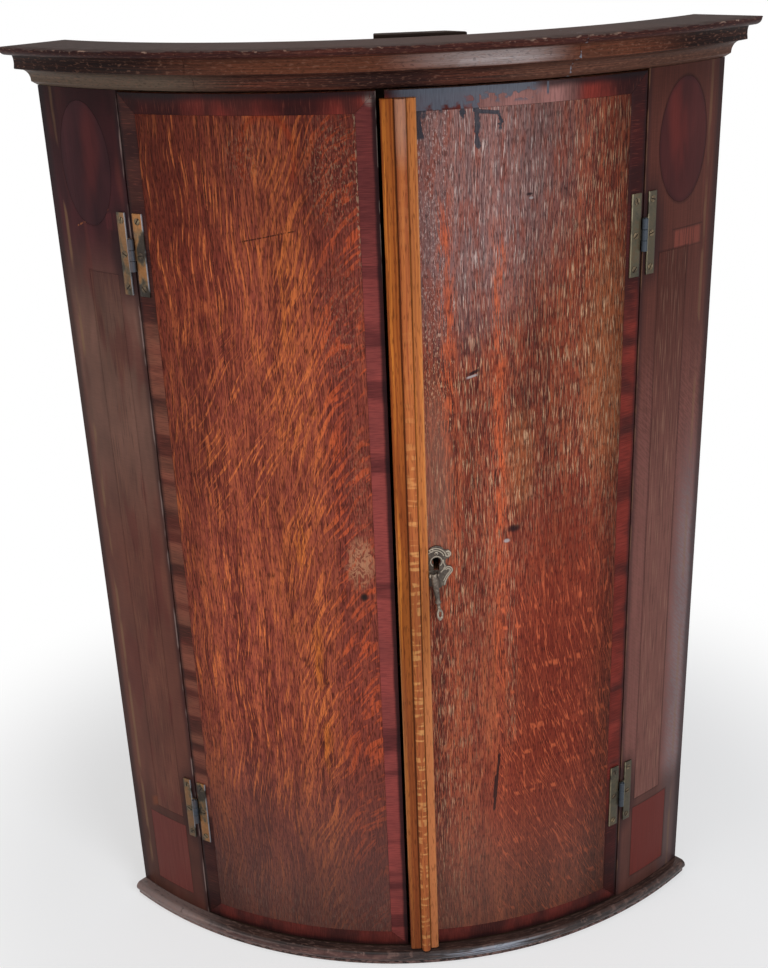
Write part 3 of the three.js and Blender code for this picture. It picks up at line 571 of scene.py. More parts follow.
def turned(name, profile, place, sides, closed=False):
    """profile is a list of (radius, height), turned about the local Z axis as on a lathe"""
    obj = drawn_line(name, [(radius, 0, height) for radius, height in profile], closed)
    edit(obj)
    bpy.ops.mesh.spin(steps=sides, angle=-math.tau, center=(0, 0, 0), axis=(0, 0, 1))
    tidy_up()
    leave()
    return smooth_over(put(obj, place))


def sawn(name, points, low, high, place):
    """A flat outline in local X and Y, sawn from a board between two local heights"""
    obj = drawn_outline(name, [(x, y, low) for x, y in points])
    edit(obj)
    bpy.ops.mesh.extrude_region_move(TRANSFORM_OT_translate={"value": (0, 0, high - low)})
    tidy_up()
    leave()
    return put(obj, place)


def block(name, low, high, place=upright):
    """A plain block between two opposite corners"""
    size = Vector(high) - Vector(low)
    bpy.ops.object.select_all(action="DESELECT")
    bpy.ops.mesh.primitive_cube_add(size=1, location=(Vector(high) + Vector(low)) / 2)
    bpy.context.object.scale = size
    return put(fixed(name), place)


def own_copy(obj, name, place):
    """A copy with its own mesh, so that it can be moved and cut by itself"""
    twin = bpy.data.objects.new(name, obj.data.copy())
    bpy.context.scene.collection.objects.link(twin)
    return put(twin, place)


def joined(name, objs):
    """Several pieces made one, under one name"""
    bpy.ops.object.select_all(action="DESELECT")
    for obj in objs:
        obj.select_set(True)
    bpy.context.view_layer.objects.active = objs[0]
    if len(objs) > 1:
        bpy.ops.object.join()
    objs[0].name = name
    return objs[0]


# %% [markdown]
# The doors are quarter-sawn oak under old red-brown polish. Four things make it oak: broad streaks
# along the grain, hair-thin threads in them, short dark pores, and ray flecks, the bright slivers
# that show where the saw ran along the tree's rays. Flecks lean differently over a board, so each
# lean is a layer of its own, and soft masks say where it shows.

# %% How oak is mixed
def fine_lines(r, width, length, seed, detail=2, tilt=0, sway=0):
    """Stretched noise: lines so wide and so long, in millimetres, that lean by tilt degrees"""
    across, rise = r.along, r.up
    if tilt:
        lean = math.radians(tilt)
        across, rise = (r.along * math.cos(lean) - r.up * math.sin(lean),
                        r.along * math.sin(lean) + r.up * math.cos(lean))
    if sway:
        drift = r.noise(r.vector(across / 55, rise / 75, seed + 40), detail=0)
        across = across + (drift - 0.5) * sway
    return r.noise(r.vector(across / width, rise / length, seed), detail=detail)


def slivers(r, level, share):
    """The peaks of stretched noise are slim spindles. A larger share shows more of them"""
    cut = 0.66 - share * 0.16
    return r.fade(level, cut, cut + 0.06)


def flecks(r, tilt, width, length, seed, share):
    return slivers(r, fine_lines(r, width, length, seed, tilt=tilt, sway=20), share)


def hooked_flecks(r, start, reach, steep, shallow, spacing, length, seed, share):
    """Flecks that start steep and bend over along the front, as the rays turn in the board"""
    run = r.along - start
    drift = r.noise(r.vector(r.along / 34, r.up / 60, seed + 5), detail=0)
    rise = r.up - run * steep + run * run * ((steep - shallow) / 2 / reach) + (drift - 0.5) * 40
    return slivers(r, r.noise(r.vector(rise / spacing, run / length, seed), detail=1), share)


def ray_lines(r, across, spacing, length, seed):
    """Long thin rays: the level lines of stretched noise, broken here and there"""
    drift = r.noise(r.vector(r.along / 40, r.up / 60, seed + 3), detail=0)
    across = across + (drift - 0.5) * 12
    level = r.noise(r.vector(across / spacing, r.up / length, seed), detail=0)
    breaks = r.noise(r.vector(across / spacing, r.up / length * 2.5, seed + 9), detail=1)
    return r.fade(abs(level - 0.5), 0.034, 0.01) * r.fade(breaks, 0.42, 0.54)


def mark(r, start, end, half_width, soft=0.5, sway=0):
    """A scratch or drip between two places on the front, in millimetres"""
    (x0, y0), (x1, y1) = start, end
    length = math.hypot(x1 - x0, y1 - y0)
    ax, ay = (x1 - x0) / length, (y1 - y0) / length
    dx, dy = r.along - x0 + sway, r.up - y0
    on_it = r.band(dx * ax + dy * ay, 0, length, 2)
    return on_it * r.fade(abs(dx * ay - dy * ax), half_width + soft, half_width)


def area(r, left, right, low, high, soft):
    return r.band(r.along, left, right, soft) * r.band(r.up, low, high, soft)


def oak_ground(r, dark, middle, light, thread_dark, depth):
    """Streaks along the grain from dark to light, and the threads that they are made of"""
    broad = fine_lines(r, 26, 420, 1, detail=1, sway=14)
    streaks = fine_lines(r, 5, 130, 2, detail=4, sway=6)
    threads = fine_lines(r, 1.05, 19, 14, detail=2, sway=8)
    tint = r.mix(r.fade(broad * 0.5 + streaks * 0.5, 0.36, 0.56), dark, middle)
    tint = r.mix(r.fade(streaks * 0.7 + broad * 0.3, 0.5, 0.68) * 0.85, tint, light)
    tint = r.mix(r.fade(threads, 0.48, 0.4) * depth, tint, thread_dark)
    return r.mix(r.fade(threads, 0.54, 0.62) * 0.5, tint, light), streaks, threads


def pores(r, seed=5):
    short = fine_lines(r, 0.95, 6.5, seed, detail=1)
    return r.fade(short, 0.56, 0.64)


def unpolished(r, tint, streaks, fine):
    """Inside the cupboard the board was never polished"""
    bare = r.shade(r.mix(r.fade(streaks, 0.3, 0.7), "#553826", "#966e4c"), 1 - fine * 0.4)
    return r.mix(r.fade(r.out, -3 * mm, -8 * mm), tint, bare)


# %% [markdown]
# The left door glows orange in its middle, and painted shade darkens it towards every edge. Flecks stand
# upright at the hinge side. Near the meeting edge they bend over to the right, more and more.

# %% Left door flecks
def left_flecks(r):
    """Ray flecks: upright at the hinge side, stirred in one place, hooked near the meeting edge"""
    hooked = r.fade(r.along, -124, -92)
    swirl = area(r, -190, -92, 530, 700, 45)
    ribbons = flecks(r, 1, 2.3, 62, 11, 0.7) * (1 - hooked * 0.7) * (1 - swirl * 0.7)
    ribbons = ribbons + flecks(r, 34, 2.6, 44, 51, 0.72) * swirl
    ribbons = ribbons + hooked_flecks(r, -122, 96, 3.6, 0.6, 7.5, 26, 23, 0.8) * hooked
    ribbons = ribbons + hooked_flecks(r, -122, 96, 4, 0.8, 4.6, 20, 27, 0.5) * hooked * 0.7
    calm = r.fade(r.noise(r.vector(r.along / 24, r.up / 66, 36), detail=1), 0.36, 0.58)
    uneven = r.noise(r.vector(r.along / 2.6, r.up / 22, 33), detail=2)
    return r.clamp(ribbons * r.fade(uneven, 0.3, 0.56) * (0.4 + 0.6 * calm))


# %% Left door wear
def left_wear(r, tint):
    """Worn, pale places: scuffs, a burl and a chipped line beside the meeting band"""
    wear = r.noise(r.vector(r.along / 1.5, r.up / 4, 3), detail=3, distortion=0.6)
    scuff = r.at((-46, 850), (30, 62)) + r.at((-122, 866), (24, 34)) * 0.7
    scuff = r.clamp(scuff + r.at((-36, 560), (16, 90)) * 0.35
                    + r.at((-44, 720), (26, 80)) * 0.5)
    tint = r.mix(scuff * r.fade(wear, 0.48, 0.4) * 0.65, tint, "#3c2422")
    tint = r.mix(scuff * r.fade(wear, 0.55, 0.63) * 0.6, tint, "#94785f")
    curls = r.noise(r.vector(r.along / 7, r.up / 12, 37), detail=3, distortion=1.2)
    burl = r.spot(r.along + curls * 30 - 15, r.up + curls * 50 - 25, (-38, 482), (17, 32))
    tint = r.mix(burl * r.fade(abs(curls - 0.5), 0.09, 0.02) * 0.75, tint, "#b48262")
    tint = r.mix(burl * 0.25, tint, "#9a6a50")
    tint = r.mix(r.at((-36, 446), (5, 6)), tint, "#2a201e")
    chips = r.band(r.along, -26, -24, 0.6) * r.fade(r.up, 740, 800) * r.fade(wear, 0.5, 0.58)
    tint = r.mix(chips * 0.8, tint, "#a08068")
    # The glue line of two boards and two scratches
    dark_lines = mark(r, (-162, 898), (-154, 640), 0.35) * 0.8 + mark(r, (-131, 790), (-81, 800), 0.3)
    dark_lines = r.clamp(dark_lines + mark(r, (-206, 780), (-179, 746), 0.2) * 0.6)
    dark_lines = dark_lines * r.fade(wear, 0.38, 0.5)
    tint = r.mix(dark_lines * 0.75, tint, "#21110f")
    return tint, wear, scuff, dark_lines


# %% Left door finish
def left_oak():
    r = Recipe("left_oak")
    ground, streaks, threads = oak_ground(r, "#622b24", "#8a4234", "#b05c3a", "#381813", 0.38)
    ribbons = left_flecks(r)
    curl = r.band(((r.along + 101) ** 2 / 700 + (r.up - 862) ** 2 / 1500) ** 0.5, 0.84, 1, 0.1)
    curl = curl * r.fade(r.up, 836, 850) * r.fade(r.along, -70, -82)
    glow = r.at((-92, 745), (12, 75)) * 0.5 + r.at((-95, 510), (8, 45))
    glow = glow + r.at((-84, 380), (7, 50)) + r.at((-80, 270), (7, 40))
    glow = r.clamp(glow * r.fade(streaks * 0.6 + threads * 0.4, 0.46, 0.56))
    hooks_red = r.fade(r.along, -80, -50)
    tint = r.mix(hooks_red * 0.6, ground, r.mix(threads, "#4c211e", "#8c443a"))
    deep = r.fade(r.up, 620, 800) * r.fade(r.along, -110, -190)
    tint = r.mix(deep * 0.7, tint, r.mix(threads, "#3e140d", "#7c2c1c"))
    tint = r.mix(ribbons * (0.86 - hooks_red * 0.12), tint, r.mix(hooks_red, "#d0703e", "#c25632"))
    tint = r.mix(r.fade(threads, 0.47, 0.37) * 0.35, tint, "#38180f")
    tint = r.mix(curl * 0.8, tint, r.mix(threads, "#7c2c1c", "#b04a2a"))
    tint = r.mix(glow * 0.62, tint, "#d0742a")
    fine = pores(r)
    tint = r.mix(fine * 0.5, tint, "#2e1511")
    tint, wear, scuff, dark_lines = left_wear(r, tint)
    low_hairs = r.fade(fine_lines(r, 0.9, 12, 91), 0.54, 0.62) * r.fade(r.up, 130, 45)
    tint = r.mix(low_hairs * 0.6, tint, "#a88672")
    # Painted light and shade: darker to the top, the bottom and the left edge, with soft lighter and
    # darker pools and tone that varies at random. The colour is also greyer low down
    edge = (0.62 + 0.38 * r.fade(r.up, 915, 720)) * (0.5 + 0.5 * r.fade(r.up, 10, 310))
    edge = edge * (1 + 0.24 * r.at((-165, 370), (60, 230)))
    edge = edge * (0.74 + 0.26 * r.fade(r.along, -228, -165))
    edge = edge * (1 - 0.16 * r.at((-80, 790), (60, 110)))
    edge = edge * (0.9 + 0.36 * r.noise(r.vector(r.along / 60, r.up / 100, 8), detail=1))
    # Greyer and paler towards the bottom
    greyer_low = r.fade(r.up, 300, 60)
    tint = r.shade(r.mix(greyer_low * 0.6, tint, "#785650"), edge)
    tint = unpolished(r, tint, streaks, fine)
    rough = 0.36 + wear * 0.12 + fine * 0.2 - ribbons * 0.06 + scuff * 0.12
    height = ribbons * 0.35 - fine * 0.7 + threads * 0.4 - dark_lines
    return r.finish(tint, rough, height, 0.35 * mm)


finishes["left_oak"] = left_oak()

# %% [markdown]
# The right door has lost more of its polish: pale tan hairs stand all over its upper part. Two
# orange ribbons run down it, flecks fan out beside the strip, and long thin ones lean the other
# way low down. A bluish tar stain has run from its top band.

# %% Tar stain
def tar(r):
    """The stain along the top of the right door, with its drips"""
    wobble = r.noise(r.vector(r.along / 7, r.up / 7, 61), detail=2)
    run = r.band(r.along, 10, 70, 8) * r.fade(r.up + wobble * 26 - r.along * 0.1, 903, 909)
    run = run + r.band(r.along, 60, 130, 8) * r.fade(r.up + wobble * 16, 915, 917)
    sway = (wobble - 0.5) * 9
    drips = mark(r, (77, 914), (77.5, 868), 2, sway=sway) + mark(r, (64, 912), (65, 889), 1.2, sway=sway)
    drips = drips + r.spot(r.along + sway, r.up, (77.5, 869), (4.2, 7)) * 2
    drips = drips + mark(r, (78, 894), (96, 892), 1.3, sway=sway)
    drips = drips + mark(r, (96, 893), (98, 878), 1, sway=sway)
    drips = drips + mark(r, (28, 912), (28.5, 874), 2.4, sway=sway) + mark(r, (140, 914), (140, 904), 0.7)
    blobs = r.fade(wobble, 0.53, 0.58) * r.band(r.along, 60, 128, 8) * r.fade(r.up, 899, 902)
    return r.clamp(run + drips * 1.2 + blobs * 0.8)


# %% Right door flecks
def right_flecks(r):
    """Upright flecks, a fan of them beside the strip, and long leaning ones low down"""
    fan = r.fade(r.along, 74, 50) * r.band(r.up, 130, 470, 50)
    lower = r.fade(r.along, 80, 104) * r.fade(r.up, 520, 420)
    ribbons = flecks(r, 3, 3, 90, 12, 0.4) * (1 - fan) * (1 - lower)
    fan_rise = r.up - 480
    fanned = r.along - fan_rise * 0.5 - fan_rise ** 2 * 0.0004
    ribbons = r.clamp(ribbons + ray_lines(r, fanned, 5, 60, 29) * fan)
    rise = r.up - 120
    leaning = r.along + rise * 0.45 - rise * rise * 0.00055
    slant = ray_lines(r, leaning, 3, 70, 43) + ray_lines(r, leaning, 4.4, 50, 63)
    return ribbons, r.clamp(slant) * lower


def red_runs(r, streaks, threads):
    """Two ragged orange ribbons down the door"""
    runs = r.band(r.along + fine_lines(r, 90, 60, 71) * 10, 47, 60, 5) * r.fade(r.up, 280, 620)
    runs = runs + r.band(r.along + fine_lines(r, 90, 60, 73) * 10, 96, 107, 4) * r.band(r.up, 330, 800, 50)
    ragged = r.noise(r.vector(r.along / 6, r.up / 34, 75), detail=2)
    runs = r.clamp(runs) * r.fade(r.up, 850, 790) * r.fade(ragged, 0.34, 0.52)
    return r.clamp(runs) * r.fade(threads * 0.6 + streaks * 0.4, 0.43, 0.53)


# %% Right door wear
def worn_hairs(r, runs):
    """Tan hairs where the polish has gone, curly beside the strip"""
    hairs = fine_lines(r, 0.9, 19, 81, detail=3, sway=8)
    gaps = fine_lines(r, 0.85, 26, 85, detail=1, sway=8)
    curly = r.noise(r.vector(r.along / 1.1, r.up / 3.6, 83), detail=2, distortion=0.6)
    beside = r.fade(r.along, 62, 44) * r.fade(r.up, 560, 660)
    hairs = hairs * (1 - beside) + curly * beside
    worn = r.fade(r.up, 330, 560) * (1 - runs * 0.8) * 0.9 + area(r, 8, 66, 40, 470, 40) * 0.7
    worn = worn + r.at((195, 690), (52, 230)) * 0.5
    worn = worn + r.at((108, 350), (8, 130))
    patchy = 0.35 + 0.8 * r.fade(r.noise(r.vector(r.along / 6, r.up / 34, 87), detail=3), 0.36, 0.58)
    return hairs, gaps, worn * patchy * (1 - beside * 0.3)


def right_marks(r):
    """Dents, a knot, a crack and the dark corner under the hinge, with painted shade and painted highlights"""
    dark_marks_and_shade = r.at((110, 507), (9, 5)) + mark(r, (95, 254), (89, 184), 1)
    dark_marks_and_shade = dark_marks_and_shade + mark(r, (92, 228), (90, 200), 1.8) + mark(r, (68, 665), (77, 669), 0.8, 1.2)
    dark_marks_and_shade = r.clamp(dark_marks_and_shade + r.at((124, 822), (4, 1.6)))
    painted_glints = mark(r, (66, 662), (75, 664.5), 0.5, 1) + r.at((103, 495), (4, 2.6))
    painted_glints = painted_glints + r.at((125.5, 818.5), (2.6, 1.6))
    return dark_marks_and_shade, r.clamp(painted_glints)


# %% Right door finish
def right_oak():
    r = Recipe("right_oak")
    ground, streaks, threads = oak_ground(r, "#602d25", "#853f2f", "#a6593a", "#301512", 0.62)
    red = r.clamp(r.at((165, 400), (80, 190)) + r.at((150, 190), (90, 140)))
    tint = r.mix(red * 0.75, ground, r.mix(threads, "#5a1f17", "#963a28"))
    ribbons, slant = right_flecks(r)
    tint = r.mix(ribbons * 0.6, tint, "#a85a3c")
    tint = r.mix(slant * 0.75, tint, "#cc6440")
    runs = red_runs(r, streaks, threads)
    hairs, gaps, worn = worn_hairs(r, runs)
    pale = r.clamp(r.fade(hairs, 0.545, 0.61) * worn * (1 - red * 0.85))
    # Painted reflection: grey lays a soft grey sheen over the upper door beside the strip
    grey = r.clamp(r.at((50, 870), (150, 215)) * 1.2)
    tint = r.mix(grey * 0.6, tint, "#7a6462")
    drift = r.noise(r.vector(r.along / 8, r.up / 55, 89), detail=2)
    drift = r.fade(drift, 0.52, 0.62) * r.fade(r.up, 480, 620)
    tint = r.mix(drift * 0.4, tint, r.mix(threads, "#6a281c", "#a04a2c"))
    toasted = r.at((208, 660), (40, 150)) + r.at((116, 575), (20, 70)) * 0.7
    tint = r.mix(toasted * 0.42, tint, r.mix(threads, "#8c4c2c", "#c07a48"))
    # Under the painted reflection the pale hairs are greyer too
    tint = r.mix(pale * 0.8, tint, r.mix(grey, "#c49a78", "#bca69e"))
    tint = r.mix(runs * 0.7, tint, r.mix(r.fade(threads, 0.38, 0.6), "#7a2e1c", "#c05c36"))
    tint = r.mix(r.clamp(r.fade(gaps, 0.46, 0.38) * worn) * 0.62, tint, "#35201f")
    fine = pores(r, 6)
    tint = r.mix(fine * 0.5, tint, "#30191a")
    dark_marks_and_shade, painted_glints = right_marks(r)
    # Dark marks, with painted shade in the dents, then painted highlights where the dents catch the light
    tint = r.mix(dark_marks_and_shade * 0.9, tint, "#1f1518")
    tint = r.mix(painted_glints * 0.9, tint, "#9c9290")
    # Painted light and shade: darker at the bottom and the right edge, lighter to the left and in two soft
    # pools, with tone that varies at random
    edge = (0.62 + 0.38 * r.fade(r.up, 10, 200)) * (0.5 + 0.5 * r.fade(r.along, 230, 180))
    edge = edge * (0.86 + 0.28 * r.noise(r.vector(r.along / 60, r.up / 130, 9), detail=1))
    edge = edge * (1.22 - 0.26 * r.fade(r.along, 92, 130)
                   + 0.16 * r.at((205, 600), (50, 240)))
    tint = r.mix(r.at((34, 560), (22, 130)) * 0.4, tint, r.mix(hairs, "#7c5044", "#b0806a"))
    tint = r.mix(r.fade(r.up, 260, 40) * 0.42, tint, "#7c5c50")
    edge = edge * (1 + 0.2 * r.at((112, 500), (40, 170)))
    tint = r.shade(tint, edge)
    stain = tar(r) * r.fade(r.out, -3 * mm, -1.8 * mm)
    tint = r.mix(stain * 0.92, tint, "#33363e")
    tint = unpolished(r, tint, streaks, fine)
    rough = 0.4 + hairs * 0.12 + fine * 0.2 - stain * 0.3
    height = ribbons * 0.3 + slant * 0.3 + pale * 0.5 - fine * 0.7 + threads * 0.3
    height = height + stain * 1.2 - dark_marks_and_shade
    return r.finish(tint, rough, height, 0.35 * mm)


finishes["right_oak"] = right_oak()

# %% [markdown]
# Crossbanding is veneer with its grain running across the narrow way, from the field to the edge.
# So the standing bands have level lines and the lying bands upright ones. Dirt and dark polish
# have gathered along the outer edges, where painted shade also lies under the cornice, beside the
# strip and in the seam at the hinges. The hinge bands have patches that stayed red.

# %% Crossband finishes
def crossband(name, lying):
    r = Recipe(name)
    run, step = (r.up, r.along) if lying else (r.along, r.up)
    lines = r.noise(r.vector(run / 14, step / 1.1, 3), detail=3)
    patches = r.noise(r.vector(run / 60, step / 34, 5), detail=2)
    cells = r.noise(r.vector(0.5 + run / 400, step / 26, 12), detail=1)
    tint = r.mix(r.fade(patches, 0.38, 0.62), "#48221f", "#7a3028")
    if lying:
        tint = r.mix(r.fade(r.up, 60, 20) * 0.5, tint, "#462624")
        # Top and bottom edges: dirt and dark polish, with painted shade under the cornice
        outer = r.fade(r.up + patches * 6, 909, 916) + r.fade(r.up + patches * 6, 27, 22) * 0.7
        pale = r.fade(r.along, 60, 90) * r.fade(r.along, 178, 150) * r.fade(r.up, 800, 850)
        tint = r.mix(pale * 0.7, tint, r.mix(patches, "#94625a", "#b48c86"))
        # Darker towards both ends of the top band: painted shade, as on the doors, and one dark blotch
        dark_end = r.fade(r.along, -150, -200) * 1.3 + r.fade(r.along, 190, 220)
        dark_end = r.clamp(dark_end + r.at((-72, 906), (42, 24))) * r.fade(r.up, 800, 850)
        tint = r.mix(dark_end * 0.9, tint, "#281314")
        outer = r.clamp(outer)
    else:
        middle_band = r.fade(abs(r.along), 60, 40)
        tint = r.mix(middle_band * 0.72, tint, "#984a46")
        dark_run = middle_band * r.clamp(r.fade(cells, 0.44, 0.36) + r.fade(r.up, 700, 830))
        tint = r.mix(dark_run * 0.6, tint, "#3a1c20")
        # Beside the strip and at the hinge seam: dirt, and painted shade
        free_edge = r.fade(r.along + patches * 3, -10.5, -7.5) * middle_band
        hinge_side = 1 - middle_band
        left_side = r.fade(r.along, 10, -10)
        browned = r.mix(r.fade(cells, 0.42, 0.56), "#472c25", "#7e5040")
        tint = r.mix(hinge_side * left_side * 0.75, tint, browned)
        live = r.fade(cells, 0.46, 0.54) * r.fade(r.up, 760, 420) * hinge_side * (1 - left_side)
        tint = r.mix(live * 0.65, tint, "#702a22")
        sunk = r.fade(r.up, 700, 745) * (1 + left_side * 0.3) + r.fade(r.up, 190, 120)
        tint = r.mix(hinge_side * r.clamp(sunk) * 0.82, tint, "#2a1415")
        outer = r.clamp(free_edge + hinge_side * r.fade(abs(r.along), 237, 241) * 0.7)
    tint = r.mix(r.fade(lines, 0.45, 0.62) * 0.3, tint, "#2a1415")
    tint = r.mix(r.fade(lines, 0.44, 0.32) * 0.2, tint, "#8c4a3c")
    corner_patch = r.at((-10, 909), (9, 9)) * r.fade(lines, 0.36, 0.52)
    tint = r.mix(corner_patch * 0.8, tint, "#85736c")
    tint = r.mix(outer * 0.85, tint, "#1b1518")
    # Painted shade: darker towards the bottom, with patches that vary the tone at random
    edge = (0.74 + 0.26 * r.fade(r.up, 10, 120)) * (0.8 + 0.4 * patches)
    tint = r.shade(tint, edge)
    stain = tar(r)
    # The tar is dark, and the blue-grey laid over it is a painted sheen
    tint = r.mix(stain * 0.9, tint, r.mix(lines, "#3c424c", "#6a6e78"))
    worn_edge = r.clamp(r.fade(r.along, -7.4, -6.8) * r.fade(r.along, -5, -6.2) * r.fade(r.up, 740, 800)
                        * r.fade(patches, 0.42, 0.5))
    tint = r.mix(worn_edge * 0.6, tint, "#8d8078")
    rough = 0.34 + lines * 0.14 - stain * 0.2
    return r.finish(tint, rough, lines * 0.4 + stain * 1.5, 0.25 * mm)


finishes["crossband_tall"] = crossband("crossband_standing", False)
finishes["crossband_flat"] = crossband("crossband_lying", True)

# %% [markdown]
# The curved stiles are veneered too. Dark mahogany surrounds an oval, a tall panel of lighter wood
# and a small reddish panel at the foot. Thin dark lines of stringing frame the inlays. The left
# stile has gone brown and the right one pinkish, and a painted grey sheen lies low on the right one.

# %% What the stile and its panels share
def oval_reach(r):
    """1 on the oval's edge, less inside it"""
    return (((abs(r.along) - 291) / 31.8) ** 2 + ((r.up - 850) / 55.5) ** 2) ** 0.5


def mahogany_grain(r):
    """Level lines, upright lines and broad patches"""
    lines = r.noise(r.vector(r.along / 13, r.up / 1.4, 3), detail=3)
    patches = r.noise(r.vector(r.along / 20, r.up / 70, 5), detail=2)
    return lines, fine_lines(r, 2, 60, 4, detail=3), patches


def stile_ground(r, lines, upright_lines, patches):
    """The colour that both the stile and its tall panel take from their place on the cupboard"""
    right = r.fade(r.along, -10, 10)
    left_tint = r.mix(r.fade(r.up, 800, 690), r.mix(patches, "#221519", "#502528"),
                      r.mix(patches, "#543e37", "#7c584c"))
    left_tint = r.mix(r.fade(r.up, 600, 440) * 0.75, left_tint, r.mix(patches, "#54302a", "#6c3c2f"))
    reddish = r.fade(r.noise(r.vector(r.along / 18, r.up / 90, 31), detail=1), 0.52, 0.66)
    left_tint = r.mix(reddish * 0.5, left_tint, "#5e302b")
    right_tint = r.mix(r.fade(r.up, 760, 420), r.mix(upright_lines, "#3c221f", "#64382e"),
                       r.mix(upright_lines, "#5e3b36", "#82564c"))
    # Painted reflection: a grey-lavender sheen on the outer part of the right stile, low down
    painted_sheen_low = r.fade(r.up, 600, 420) * r.fade(abs(r.along), 300, 326)
    right_tint = r.mix(painted_sheen_low * 0.75, right_tint, "#7e7172")
    # The left stile is painted darker towards the top: shade under the cornice
    tint = r.mix(right, r.shade(left_tint, 1 - 0.3 * r.fade(r.up, 810, 870)), right_tint)
    return r.shade(tint, 0.86 + 0.28 * lines)


# %% Stile finish
def stile_wood():
    r = Recipe("stile_mahogany")
    side = abs(r.along)
    lines, upright_lines, patches = mahogany_grain(r)
    right = r.fade(r.along, -10, 10)
    mid = r.band(r.up, 140, 640, 60)
    tint = stile_ground(r, lines, upright_lines, patches)
    feather = r.noise(r.vector(r.along / 9, (r.up + side) / 2.6, 27), detail=2)
    tint = r.mix(right * mid * r.fade(feather, 0.4, 0.6) * 0.4, tint, "#80504a")
    block = r.clamp(area(r, 284, 322, 752, 768, 1.5) + area(r, -272, -248, 792, 808, 2))
    tint = r.mix(block * r.fade(upright_lines, 0.36, 0.56) * 0.7, tint, r.mix(right, "#5a2a2c", "#7a4036"))
    rim = area(r, 281, 325, 769, 770.4, 0.4) + area(r, 281, 325, 750, 751.2, 0.4) * 0.6
    string_line = r.band(oval_reach(r), 1, 1.04, 0.02)
    tall = r.band(side, 262.8, 305.2, 0.4) * r.band(r.up, 138, 753, 0.4)
    low = r.band(side, 260.8, 319.2, 0.4) * r.band(r.up, 31.8, 130.2, 0.4)
    stringing = r.clamp(string_line + tall * 0.8 + low + rim) * (0.16 + 0.24 * right)
    tint = r.mix(stringing, tint, "#1c1214")
    foot = r.fade(r.up, 175, 130)
    tint = r.mix(foot * 0.7, tint, r.mix(patches, "#33241f", "#4e2c26"))
    flash = r.band(r.up + side * 0.5, 292, 304, 3) * (1 - right) * r.band(side, 262, 312, 4)
    tint = r.mix(flash * 0.6, tint, "#7c452e")
    pale_run = r.band(side, 326, 330, 1.2) * r.fade(patches, 0.44, 0.56) * (1 - right * 0.4)
    tint = r.mix(pale_run * 0.55, tint, "#7d6046")
    # Darker along the wall edge, and painted shade in the seam beside the door
    outer = r.clamp(r.fade(side + patches * 8, 337, 346) + r.fade(side, 250, 244) * 0.8)
    tint = r.mix(outer * 0.7, tint, "#241b1e")
    hinge_soot = r.spot(side, r.up, (252, 772), (24, 64)) + r.spot(side, r.up, (250, 158), (22, 62))
    tint = r.mix(r.clamp(hinge_soot) * 0.7, tint, "#231a1c")
    # Painted shade: darker towards the top, under the cornice; the patches vary the tone at random
    edge = (0.62 + 0.38 * r.fade(r.up, 918, 860)) * (0.84 + 0.32 * patches)
    tint = r.shade(tint, edge)
    breaks = r.fade(fine_lines(r, 9, 45, 15), 0.46, 0.58)
    seam = r.band(side, 242.7, 244.2, 0.4) * breaks * (0.75 - 0.45 * right)
    tint = r.mix(seam, tint, r.mix(right, "#84706a", "#8a6448"))
    nick = mark(r, (-312, 792), (-268, 811), 0.5) * r.fade(upright_lines, 0.4, 0.6)
    tint = r.mix(nick * 0.7, tint, "#a0603a")
    inside = r.fade(r.out, -3 * mm, -8 * mm)
    tint = r.mix(inside, tint, r.mix(upright_lines, "#5c3d2a", "#8a6444"))
    return r.finish(tint, 0.36 + lines * 0.15, lines * 0.4 + upright_lines * 0.3, 0.25 * mm)


finishes["stile"] = stile_wood()

# %% Inlay finish
def inlay_wood(name):
    """Veneer let into the stile: an oval, the tall panel or the small one at the foot"""
    r = Recipe(name)
    lines, upright_lines, patches = mahogany_grain(r)
    right = r.fade(r.along, -10, 10)
    if name == "oval_mahogany":
        tint = r.mix(right, r.mix(patches, "#221519", "#462427"), r.mix(patches, "#361d1e", "#522826"))
        streak = r.spot(abs(r.along) + r.up * 0.12, r.up, (386, 862), (16, 62)) * (0.2 + 0.12 * right)
        tint = r.mix(streak * r.fade(patches, 0.3, 0.56), tint, "#742e27")
        tint = r.mix(r.fade(oval_reach(r), 0.9, 0.99) * (0.1 + 0.2 * right), tint, "#20141a")
    elif name == "tall_panel":
        tint = stile_ground(r, lines, upright_lines, patches)
        hairs = fine_lines(r, 1.6, 40, 18, detail=2)
        tint = r.mix(r.fade(hairs, 0.54, 0.68) * 0.35, tint, r.mix(right, "#765240", "#96705c"))
        tint = r.mix(r.fade(hairs, 0.44, 0.3) * 0.4, tint, "#35231f")
        tint = r.shade(tint, 0.8 + 0.2 * r.fade(r.up, 740, 600))
    else:
        tint = r.mix(upright_lines, "#5a2a24", r.mix(right, "#74403a", "#6e2e28"))
        tint = r.mix(r.fade(patches, 0.4, 0.6) * 0.4, tint, "#602c28")
    tint = r.shade(tint, 0.84 + 0.32 * patches)
    return r.finish(tint, 0.36 + lines * 0.15, upright_lines, 0.12 * mm)


finishes["oval"] = inlay_wood("oval_mahogany")
finishes["tall_panel"] = inlay_wood("tall_panel")
finishes["lower_panel"] = inlay_wood("lower_panel")

# %% [markdown]
# The cover strip was replaced once, in golden oak. Its raised bead shows pale ray flecks that lie
# across it, because the bead's wood was cut the other way.

